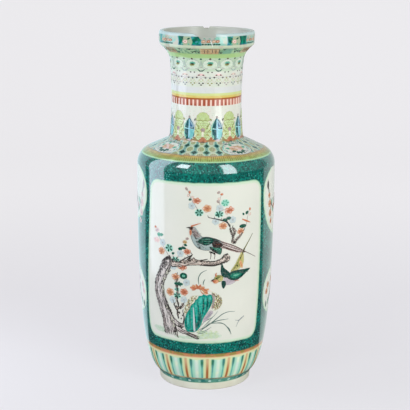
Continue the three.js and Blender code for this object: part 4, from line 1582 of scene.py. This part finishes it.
def picture(name, place, rock_moved=(0, 0), perched_moved=(0, 0), flying_moved=(0, 0)):
    """The whole picture, with each part in a pile of its own and some parts moved by millimetres."""
    ground(place.on(name + "_ground"))
    rock(place.on(name + "_rock", *rock_moved))
    tree(place.on(name + "_tree"))
    peonies(place.on(name + "_rock", *rock_moved))
    blossoms(place.on(name + "_blossoms"))
    perched_bird(place.on(name + "_perched_bird", *perched_moved))
    flying_bird(place.on(name + "_flying_bird", *flying_moved))


picture("front", Place("front", shift=(0.8, -1)))
print("front picture shapes:", {name: len(made) for name, made in piles.items()})

# %% [markdown]
# ## The back and the sides
# The photograph shows only one side. A vase of this kind has a second panel behind and small reserves
# between the two. The same drawings are laid on the back, mirrored and partly moved, and the side
# reserves hold sprigs.

# %% Back panel
picture("back", Place("back", 180, mirror=-1), (6, -2), (-6, 1), (-4, -14))
print("back picture shapes:", len([name for name in piles if name.startswith("back")]))

# %% [markdown]
# ## Sprigs at the sides
# Only slivers of the side reserves show in the photograph: dark and orange marks at the right, faint grey
# and lilac ones at the left. One sprig is drawn for each height and laid on both sides in its own paints.

# %% Side sprigs


def upper_sprig(place, flower, line, edge):
    """A bent stem across a reserve with a dark bud at its near end, blossoms along it and leaves between."""
    stroke(line, [(-43, 18), (-40, 4), (-34, -14), (-30, -36)], [0.5, 0.9, 0.7, 0.3], place, 0.1, 0.12)
    stroke(line, [(-36, -10), (-20, -22), (0, -14), (18, 2), (34, 16)], [1, 1.2, 0.9, 0.4], place, 0.1, 0.14)
    stroke(line, [(-8, -18), (10, -26), (28, -24)], [0.8, 0.6, 0.3], place, 0.1, 0.14)
    outlined("umber" if line == "sepia" else "lilac", line, oval(-42.5, 11, 2.2, 5.2, 0.1, 12), place, 0.4,
        0.14)
    for x, y, size in ((-36, -14, 5.4), (-34, -27, 5), (-38, -3, 3.6), (-31, -38, 3.6), (0, -12, 5.4),
            (34, 18, 5.4), (20, 5, 4.6), (29, -24, 5), (-18, -21, 4.8)):
        red_blossom(place, x, y, size, 0.1 * x, flower, edge)
    for x, y, turn in ((-30, -16, 0.9), (-10, -17, 2.2), (8, -8, 1.9), (14, -25, -0.8), (26, 10, 2.6),
            (-24, -20, -1.2)):
        leaf(place, x, y, 8.5, turn, "deep_green" if turn > 1 else "leaf_green")


def lower_sprig(place, flower, line, edge):
    """A shorter spray: one stem with five heads and narrow leaves."""
    stroke(line, [(-26, -18), (-14, -6), (2, 4), (20, 10)], [1, 0.9, 0.4], place, 0.1, 0.14)
    for k, (x, y) in enumerate(((-34, 2), (-30, 10), (2, 6), (20, 11), (-12, 14))):
        red_blossom(place, x, y, 4.4 + 0.3 * (k % 2), 0.8 * k, flower, edge)
    for x, y, turn in ((-32, -20, 1.8), (-26, -18, 1.3), (-8, -2, 2), (8, 6, -0.7), (-18, -10, 0.2)):
        leaf(place, x, y, 9, turn, "deep_green" if turn > 1.5 else "leaf_green", 0.22)


for name, angle in (("right", 90), ("left", -90)):
    tones = ("orange", "sepia", "iron_red") if name == "right" else ("pink", "grey", "lilac")
    mirror = 1 if name == "right" else -1
    upper_sprig(Place(name + "_side_sprigs", angle, mirror=mirror, shift=(0, 258)), *tones)
    lower_sprig(Place(name + "_side_sprigs", angle, mirror=mirror, shift=(0, 124)), *tones)
print("side sprigs laid")

# %% [markdown]
# ## Shoulder cartouches
# Four cartouches with a peony each break the shoulder's diaper. Their height is measured along the slope,
# because a height above the floor would stretch them where the shoulder lies nearly flat.

# %% Shoulder cartouches


def cartouche(place):
    """A lobed pale field with a scrolled edge, a wide tan peony and dark leaves."""
    edge = both_sides([(0, 346.2), (-8, 346), (-14, 345), (-17.8, 342.2), (-19.8, 338.4), (-20.2, 333.6),
        (-18.4, 329), (-14, 325.6), (-8, 323.8), (0, 323.2)], 48)
    outlined("field", "slate", edge, place, 0.8, 0.06, 0.06)
    for side in (-1, 1):
        stroke("mint", [(side * 12, 348.4), (side * 17.6, 341), (side * 18.6, 334), (side * 15.4, 328)],
            [0.6, 1, 0.5], place, 0.1, 0.08)
        for x, y, size in ((15.6, 343, 2.6), (16.8, 333, 2.6), (12, 328, 2.2), (9.6, 347, 2.2),
                (3.6, 347.6, 1.7), (13.4, 337.6, 1.8)):
            span = np.linspace(0, 5, 9)
            ring = np.stack([side * (x + size * (1 - 0.1 * span) * np.cos(span)),
                y + size * (1 - 0.1 * span) * np.sin(span)], -1)
            stroke("slate" if size > 2 else "leaf_green", ring, [0.3, 0.62, 0.3], place, 0.14, 0.08)
        for x, y, size in ((14.4, 348.2, 1.6), (10.6, 349, 1.7), (6.6, 349.2, 1.6), (2.6, 349.2, 1.4)):
            pad("field", oval(side * x, y, 1.3 * size, size, 0, 9), place, 0.12, 0.05)
            stroke("slate", [(side * (x - 1.6), y - 1), (side * x, y + 1.2), (side * (x + 1.6), y - 0.4)],
                [0.2, 0.6, 0.2], place, 0.16, 0.06)
        for x, y in ((12, 345.6), (17.6, 338.6), (14.4, 330.2), (7.4, 325.6)):
            stroke("slate", [(side * x, y), (side * (x + 1.4), y + 1.6), (side * (x + 1.2), y + 4.2)],
                [0.2, 0.7, 0.2], place, 0.14, 0.08)
    for x, y, turn in ((-4, 332, 3.5), (3, 332, 5.8), (-9.6, 337, 2.8), (9.5, 336.4, 0.3),
            (-2.4, 330.4, 4.4), (-4, 342, 2.1), (3.4, 330.4, 5), (0, 330, 4.7)):
        leaf(place, x, y, 6, turn, "deep_green" if turn > 3 else "leaf_green", 0.4)
    for k, a in enumerate(around(9, 0.2)):
        outlined("pink" if k % 4 == 3 else "tan", "copper",
            oval(6.4 * math.cos(a), 337 + 2.6 * math.sin(a), 4.4, 2.4, 0.6 * math.sin(2 * a), 10), place,
            0.2, 0.16 + 0.01 * k)
    outlined("peach", "tan", oval(0, 337.2, 3, 1.6, 0, 9, 5, 0.2), place, 0.3, 0.34)


for k in range(4):
    cartouche(Place("shoulder_cartouches", 38 + 90 * k, 62, slant=True))
print("cartouches laid")

# %% [markdown]
# ## Leaves on the neck
# Eight broad leaves and eight blades stand in turn round the root of the neck. One of each is drawn, and a
# loop lays it at each angle. Both are symmetrical, so only the left half of an outline is written.

# %% Neck leaves


def curl(paint, place, across, up, size, side, first=0):
    """A brush curl: a ring whose radius shrinks as it turns."""
    span = first + np.linspace(0, 4.6, 8)
    shrink = 1 - 0.09 * np.arange(8)
    ring = np.stack([across + side * size * shrink * np.cos(span), up + size * shrink * np.sin(span)], -1)
    stroke(paint, ring, [0.25, 0.5, 0.3], place, 0.26, 0.08)


def broad_leaf(place):
    """A fan over a pale body, with curls at its edges, a small flower in it and a copper foot."""
    shape = [(0, 353), (-4.4, 353), (-7.6, 350.4), (-8.8, 346), (-10.2, 341), (-10.3, 334.6), (-8.8, 329.6),
        (-5.6, 327), (0, 326)]
    outlined("sage", "olive", both_sides(shape, 40), place, 0.35, 0.08, 0.16)
    fan = [(0, 361.6), (-2.2, 361), (-4.2, 360.6), (-5.6, 358.8), (-7.4, 357.4), (-7.8, 354.6),
        (-8.8, 352.2), (-5.4, 350.8), (-2.6, 352.2), (0, 350.4)]
    outlined("fan", "olive", both_sides(fan, 40), place, 0.35, 0.14, 0.16)
    stroke("olive", [(-9, 351.8), (-5.4, 350.6), (-2.6, 352), (0, 350.4), (2.6, 352), (5.4, 350.6),
        (9, 351.8)], [0.3, 0.5, 0.3], place, 0.3, 0.06)
    for k in range(-2, 3):
        stroke("sage", [(0.7 * k, 352.6), (1.8 * k, 356.4), (2.5 * k, 359.8 - abs(k))], [0.3, 0.55, 0.3],
            place, 0.28, 0.06)
    for row, count in ((347.6, 4), (344.4, 5), (336.2, 6), (332.8, 6), (329.6, 5)):
        for x in (np.arange(count) - (count - 1) / 2) * 3.0:
            stroke("olive", [(x - 1.3, row - 0.6), (x, row + 0.9), (x + 1.3, row - 0.6)],
                [0.14, 0.26, 0.14], place, 0.24, 0.05)
            pad("cream", oval(x, row - 0.4, 0.6, 0.5, 0, 6), place, 0.26, 0.05)
    for side in (-1, 1):
        for line in ([(9, 348.4), (6.6, 345), (4.6, 341.6)], [(9.8, 341), (7.4, 338), (5, 336.8)],
                [(8.4, 331), (6, 334), (4, 335)]):
            stroke("olive", [(side * x, y) for x, y in line], [0.3, 0.6, 0.3], place, 0.28, 0.06)
        stroke("cream", [(side * 9.6, 346.4), (side * 8.4, 343.6), (side * 7.6, 341.4)], [0.3, 0.7, 0.3],
            place, 0.3, 0.06)
        curl("cream", place, side * 7.4, 349.8, 1.7, side)
        curl("cream", place, side * 9.2, 332.4, 2, side, 1)
        curl("gold", place, side * 9.4, 342.6, 1.5, side, 2)
        stroke("umber" if side < 0 else "olive", [(side * 8.6, 353.4), (side * 10.4, 352.6),
            (side * 10, 350.6)], [0.4, 0.8, 0.4], place, 0.3, 0.06)
        for x, y, paint in ((5.2, 341.4, "olive"), (9.8, 337.6, "gold"), (5.6, 333, "gold")):
            pad(paint, oval(side * x, y, 1.5, 0.9, 0.4, 7), place, 0.3, 0.06)
    outlined("dove", "copper", oval(0, 339.6, 2.9, 2.6, 0, 11, 5, 0.15), place, 0.5, 0.3, 0.1)
    pad("cream", both_sides([(0, 337.4), (-1.3, 336), (-1, 331.4), (0, 330.8)], 12), place, 0.28, 0.08)
    outlined("copper", "brown", both_sides([(0, 330.6), (-2.2, 329.6), (-4.4, 327), (-5.4, 324.6),
        (0, 324)], 20), place, 0.25, 0.26, 0.12)


def pointed_blade(place):
    """Two halves on either side of a pale rib, the left dark with a mint edge, the right lighter."""
    shape = [(0, 355), (-1.8, 352.8), (-4.8, 348), (-7, 343.6), (-7.3, 338), (-6.6, 332.4), (-5.2, 328.2),
        (0, 327)]
    outlined("sea_teal", "grey", both_sides(shape, 34), place, 0.3, 0.1, 0.16)
    stroke("mint", [(-3.6, 350.6), (-6.6, 344.4), (-7.2, 339), (-6.4, 332.4)], [0.3, 0.9, 0.6], place, 0.26,
        0.06)
    pad("river", loop([(1.2, 351.4), (3.4, 348.6), (6.4, 343.2), (1.2, 342)], 14), place, 0.26, 0.06)
    pad("turquoise", loop([(1.2, 340), (6.6, 339.8), (6.2, 334), (4.4, 329), (1.2, 327.8)], 14), place,
        0.26, 0.06)
    pad("navy", loop([(1.1, 349.6), (2.2, 347), (4.2, 343.6), (1.1, 343.8)], 10), place, 0.32, 0.04)
    stroke("umber", [(1.6, 341.2), (4, 341), (6.2, 341.4)], [0.2, 0.5, 0.2], place, 0.4, 0.05)
    pad("leaf_green", oval(-5, 331, 1.4, 2.2, 0.2, 9), place, 0.28, 0.06)
    pad("mint", oval(-4.8, 341, 1.4, 0.8, 0.2, 9), place, 0.3, 0.06)
    stroke("ash", [(0.8, 354.4), (4.8, 349), (7.2, 343.4), (7.2, 337)], [0.3, 0.6, 0.4], place, 0.28, 0.08)
    stroke("sky", [(0, 352.6), (0, 341), (0, 329)], [0.6, 0.95, 0.7], place, 0.34, 0.08)
    stroke("sky", [(-4.4, 340.4), (0, 340.6), (6.2, 340)], [0.3, 0.6, 0.4], place, 0.34, 0.08)
    pad("dove", oval(0, 355.4, 1.3, 1.8, 0, 9), place, 0.34, 0.06)
    pad("lilac", oval(0.6, 326.6, 3, 1.5, 0, 11, 3, 0.15), place, 0.3, 0.06)
    for side in (-1, 1):
        curl("cream", place, side * 5.6, 329, 1.6, side, 1.4)
        curl("grey", place, side * 8.2, 345.4, 1.4, side, 0.4)


for k in range(8):
    broad_leaf(Place("neck_leaves", -5.5 + 45 * k, 45.2))
    pointed_blade(Place("neck_leaves", 17 + 45 * k, 45.2))
print("neck leaves:", len(piles["neck_leaves"]))

# %% [markdown]
# ## The net of jewels
# Under the mouth hang thirteen roundels with bows between them, over rows of beads. The painter changed
# the colours from one to the next, so the loop does too.

# %% Net of jewels and roundels


def dots(place, paint, places, wide=0.75, high=0.6):
    """Small beads of one paint."""
    for x, y in places:
        pad(paint, oval(x, y, wide, high, 0, 7), place, 0.08, 0.1)


def roundel(place):
    """A pale roundel on the curve under the mouth, with a green bud lying in it."""
    outlined("wash", "slate", oval(0, 421.4, 9.4, 6, 0, 26, 13, 0.05), place, 0.4, 0.04, 0.04)
    outlined("wash", "grey", oval(0, 421.2, 7, 4.6, 0, 24), place, 0.45, 0.08, 0.05)
    outlined("leaf_green", "deep_green", oval(0.3, 423, 3.6, 1.7, 0, 12), place, 0.4, 0.14, 0.12)
    pad("olive", oval(-0.2, 420.8, 3.4, 1.5, 0.1, 10), place, 0.2, 0.1)
    pad("umber", oval(0.2, 421.8, 2.4, 0.9, 0, 9), place, 0.28, 0.08)
    for side in (-1, 1):
        stroke("grey", [(side * 9, 416.6), (side * 10.6, 421), (side * 11, 425.6)], [0.2, 0.45, 0.2], place,
            0.06, 0.08)
        stroke("lilac", [(side * 3.4, 417), (side * 6.4, 415.6), (side * 9, 416.4)], [0.2, 0.4, 0.2], place,
            0.12, 0.06)
    dots(place, "brown", [(0, 428.3)], 1.4, 1.1)
    dots(place, "sepia", [(-2.6, 411.6), (2.6, 411.6)], 1.2, 0.8)


def chevron(place, strong):
    """A hanging bow under the dots between two roundels. Every other one is drawn in strong colours."""
    stroke("deep_green" if strong else "grey", [(-4.4, 415.6), (-2.4, 413.6), (0, 412.6), (2.4, 413.8),
        (4.4, 415.2)], [0.4, 0.9, 0.4], place, 0.1, 0.12)
    pad("wash", both_sides([(0, 416.8), (-2.6, 415.8), (0, 413.6)], 9), place, 0.08, 0.08)
    dots(place, "deep_green" if strong else "umber", [(0, 428)], 1.5, 1.1)
    dots(place, "dove", [(0, 417.8)], 1.2, 0.8)
    stroke("pink" if strong else "peach", [(-5, 407.2), (0, 409), (5, 407.2)], [0.6, 1.6, 0.6], place, 0.04,
        0.05)
    dots(place, "brown" if strong else "dove", [(-2.8, 408), (2.8, 408)], 1.3, 0.9)


net_pitch = 360 / 13
for k in range(13):
    roundel(Place("neck_net", 5.1 + net_pitch * k, 47))
    chevron(Place("neck_net", 5.1 + net_pitch * (k + 0.5), 46), k % 2 == 0)
for k in range(26):
    here = Place("neck_net", 5.1 + net_pitch * k / 2, 45.4)
    if k % 2 == 0:
        dots(here, ("sea_teal", "olive", "umber")[k // 2 % 3], [(0, 404.4)], 1.3, 0.9)
        dots(here, "umber", [(-5.5, 404.8), (5.5, 405)], 1.4, 0.9)
    else:
        dots(here, "lilac", [(0, 404.2)], 1.1, 0.8)
    dots(here, ("olive", "sepia", "dove", "slate")[k % 4], [(-2.3, 398), (2.3, 398), (0, 395.8)], 1.3, 0.9)
    stroke("lilac", [(-5.4, 406.6), (-2.8, 405), (0, 406.2), (2.8, 405), (5.4, 406.6)], [0.2, 0.3, 0.2],
        here, 0.05, 0.05)
    stroke("fan", [(-2.8, 403.4), (0, 399.4), (2.8, 403.4)], [0.2, 0.36, 0.2], here, 0.05, 0.05)
    stroke("tan", [(-5.4, 398), (-2.8, 401.4), (0, 403.6), (2.8, 401.4), (5.4, 398)], [0.12, 0.2, 0.12],
        here, 0.05, 0.05)
print("net pieces:", len(piles["neck_net"]))

# %% [markdown]
# ## The lip
# Small flowers fill the reserves on the lip, and brown scrolls run under the flare. The last stroke is the
# pale hairline below the chip. A cut would be truer, but it is thinner than a mesh can hold here.

# %% Mouth reserves


def lip_reserve(place):
    """On the lip a row of copper flowers over green dashes, and under the flare a row of brown scrolls."""
    for k, x in enumerate((-8.4, -2, 4.2, 8.6)):
        outlined("copper" if k % 2 else "tan", "brown", oval(x, 450.8, 3, 1.8, 0.2, 11, 5, 0.2), place, 0.3,
            0.1 + 0.01 * k, 0.1)
        pad("peach", oval(x, 450.8, 0.7, 0.5, 0, 6), place, 0.24, 0.05)
        stroke("leaf_green", [(x + 2.6, 453.4), (x + 1.4, 454.4), (x, 453.8)], [0.3, 0.5, 0.3], place, 0.08,
            0.08)
    for x in (-9, -5.6, -2.2, 1, 4.4, 7.6, 10.6):
        pad("deep_green", oval(x, 447.2, 1.8, 1, 0.1, 8), place, 0.08, 0.08)
    for k, x in enumerate((-10, -5.4, 0.4, 5.2, 9.8)):
        curl("ochre", place, x, 437.8, 1.9, -1 if k % 2 else 1, 0.6 * k)
        stroke("brown", [(x + 2.4, 435.8), (x + 2.8, 438), (x + 2.2, 440.6)], [0.3, 0.7, 0.3], place, 0.12,
            0.08)
    for y in (435.2, 440.9):
        stroke("ochre", [(-12, y), (0, y), (12.4, y)], [0.3, 0.45, 0.3], place, 0.08, 0.08)
    for x, y in ((-24, 436.6), (-20, 437.4), (-15.4, 436.8), (-27, 440.4), (15.6, 435.8), (19, 440)):
        pad("umber", oval(x, y, 1.6, 0.7, -0.3, 8), place, 0.08, 0.08)
        stroke("deep_green", [(x - 2.6, y + 1.4), (x, y + 0.6), (x + 2.8, y + 1.6)], [0.2, 0.45, 0.2],
            place, 0.06, 0.06)


def lip_flower(place):
    """A five-lobed flower with two leaves above and two below."""
    outlined("pink", "copper", oval(0, 450.2, 3.2, 2.6, 0, 12, 5, 0.25), place, 0.3, 0.1, 0.12)
    pad("tan", oval(0, 450.2, 1.2, 1, 0, 7), place, 0.24, 0.06)
    for side in (-1, 1):
        pad("deep_green", oval(side * 4.4, 453.8, 2.2, 1, 0.4 * side, 8), place, 0.08, 0.08)
        pad("leaf_green", oval(side * 4.4, 447.2, 1.6, 0.9, -0.4 * side, 8), place, 0.08, 0.08)


for k in range(6):
    lip_reserve(Place("mouth_flowers", 4 + 60 * k, 58.6))
    lip_flower(Place("mouth_flowers", 34 + 60 * k, 60.6))
stroke("white", [(4.2, 452), (5.6, 449), (6.4, 446), (8.2, 441.6)], [0.55, 0.4, 0.34, 0.12],
       Place("mouth_flowers", 0, 60), 0.34, 0.05)
print("mouth flowers:", len(piles["mouth_flowers"]))

# %% [markdown]
# ## Firing
# Each pile becomes one raised mesh. Its paints are kept in a colour attribute, whose fourth number is the
# roughness, because iron red fires duller than the glassy greens.

# %% Painted meshes


def make_enamel():
    """Reads the paint attribute. A fine noise clouds the colour and the gloss."""
    board = Board("painted_enamel")
    paint = board.node("ShaderNodeAttribute", {"attribute_name": "paint"}, {})
    cloudy = board.noise(420, 3)
    colour = board.mix(cloudy.above(0.56, 0.2) * 0.1, paint.outputs["Color"], (236, 236, 226))
    colour = board.mix(cloudy.below(0.44, 0.2) * 0.12, colour, (40, 44, 38))
    gloss = Wire(board, paint.outputs["Alpha"]) + cloudy * 0.06
    return board.finish(colour, gloss, 0.0, cloudy, 0.00008)


painted_enamel = make_enamel()


def fire(name, shapes):
    """Joins the shapes of a pile: their face numbers are moved up by the points that come before."""
    counts = np.array([len(points) for points, *_ in shapes])
    starts = np.concatenate([[0], np.cumsum(counts)[:-1]])
    triangles = np.concatenate([s[2] + start for s, start in zip(shapes, starts)])
    quads = np.concatenate([s[3] + start for s, start in zip(shapes, starts)])
    piece = new_object(name, np.concatenate([s[0] for s in shapes]), quads.tolist(), triangles.tolist())
    tones = piece.data.color_attributes.new("paint", "FLOAT_COLOR", "POINT")
    tones.data.foreach_set("color", np.concatenate([s[1] for s in shapes]).ravel())
    piece.data.materials.append(painted_enamel)
    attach(piece, "root")
    return piece


painted = [fire(name, shapes) for name, shapes in piles.items()]
print("painted faces:", {piece.name: len(piece.data.polygons) for piece in painted})

# %% [markdown]
# ## Stage and light
# The floor is a pale sheet that sweeps up behind the vase. It could be lit until it is white, but its
# shadow would go, so it glows a little for the camera and takes the shadow too. What the glaze mirrors
# is painted on the sheet by angle: bright at both sides, dark behind the camera, as in the photograph.

# %% Sweep


def make_sweep():
    """A sheet 8 m wide: flat floor, a quarter circle of radius 0.8 m, and a wall."""
    bend = arc((1.6, 0.8), 0.8, -math.pi / 2, 0, 24)
    profile = np.concatenate([[(-4.0, 0.0), (-1.0, 0.0), (0.8, 0.0)], bend, [(2.4, 3.2)]])
    n = len(profile)
    points = np.concatenate([np.column_stack([np.full(n, x), profile]) for x in (-4.0, 4.0)])
    i = np.arange(n - 1)
    made = new_object("sweep", points / MM, np.stack([i, n + i, n + i + 1, i + 1], -1).tolist())
    board = Board("sweep_paper")
    path = board.node("ShaderNodeLightPath", {}, {})
    camera_ray, glossy_ray = (Wire(board, path.outputs[kind]) for kind in ("Is Camera Ray", "Is Glossy Ray"))
    mirrored = board.coats((66, 72, 76), (board.angle.below(-118, 2), (214, 244, 252)),
                           (board.angle.above(109, 2), (208, 216, 214)))
    # the glow is painted darker near the vase and brighter far off: a painted falloff of light on the sheet
    seen_with_painted_falloff = board.mix(board.radius.above(700, 600), (236, 234, 239), (253, 251, 254))
    tone = board.mix(glossy_ray, seen_with_painted_falloff, mirrored)
    glow = board.node("ShaderNodeEmission", {}, {"Color": tone, "Strength": 1.0})
    board.shader.inputs["Base Color"].default_value = srgb(226, 225, 226)
    board.shader.inputs["Roughness"].default_value = 0.9
    board.shader.inputs["Specular IOR Level"].default_value = 0.1
    blend = board.node("ShaderNodeMixShader", {}, {0: (camera_ray * 0.76).most(glossy_ray),
                                                    1: board.shader.outputs[0], 2: glow.outputs[0]})
    board.tree.links.new(blend.outputs[0], board.tree.nodes["Material Output"].inputs["Surface"])
    made.data.materials.append(board.material)
    return made


sweep = make_sweep()
print("sweep made")

# %% [markdown]
# ## Lamps
# The reflections in the photograph tell where the lamps stand: a soft box close on the left, a small one
# high at the front left, and a tall narrow one at the front right. The fourth only fills, and the glaze
# doesn't mirror it. Area lamps are used because a glaze shows the shape of what lights it.

# %% Soft boxes


def soft_box(name, turn, rise, away, width, height, radiance, colour, mirrored=True):
    """A box at an angle round the vase, turned towards it. Its power is radiance * pi * area. A fill light
    isn't mirrored in the glaze."""
    data = bpy.data.lights.new(name, "AREA")
    data.shape = "RECTANGLE"
    data.size, data.size_y = width, height
    data.energy = radiance * math.pi * width * height
    data.color = colour
    made = bpy.data.objects.new(name, data)
    turn = math.radians(turn)
    made.location = (away * math.sin(turn), -away * math.cos(turn), rise)
    made.rotation_euler = Vector((-math.sin(turn), math.cos(turn), 0)).to_track_quat("-Z", "Y").to_euler()
    made.visible_glossy = mirrored
    bpy.context.collection.objects.link(made)
    return made


world = bpy.data.worlds.new("studio")
world.use_nodes = True
world.node_tree.nodes["Background"].inputs["Color"].default_value = (0.95, 0.98, 1.0, 1)
world.node_tree.nodes["Background"].inputs["Strength"].default_value = 0.3
bpy.context.scene.world = world
soft_box("left_box", -84.2, 0.52, 0.503, 0.296, 1.04, 2.5, (0.89, 0.97, 1.16))
soft_box("high_box", -42, 1.45, 1.45, 0.55, 0.9, 6.7, (0.9, 0.99, 1.05))
soft_box("right_box", 39, 1.15, 1.55, 0.6, 2.0, 4.9, (0.92, 0.99, 1.03))
soft_box("fill_box", 38, 0.35, 2.4, 2.4, 1.2, 1.9, (1.0, 0.99, 0.97), mirrored=False)
bpy.context.scene.view_settings.view_transform = "Standard"
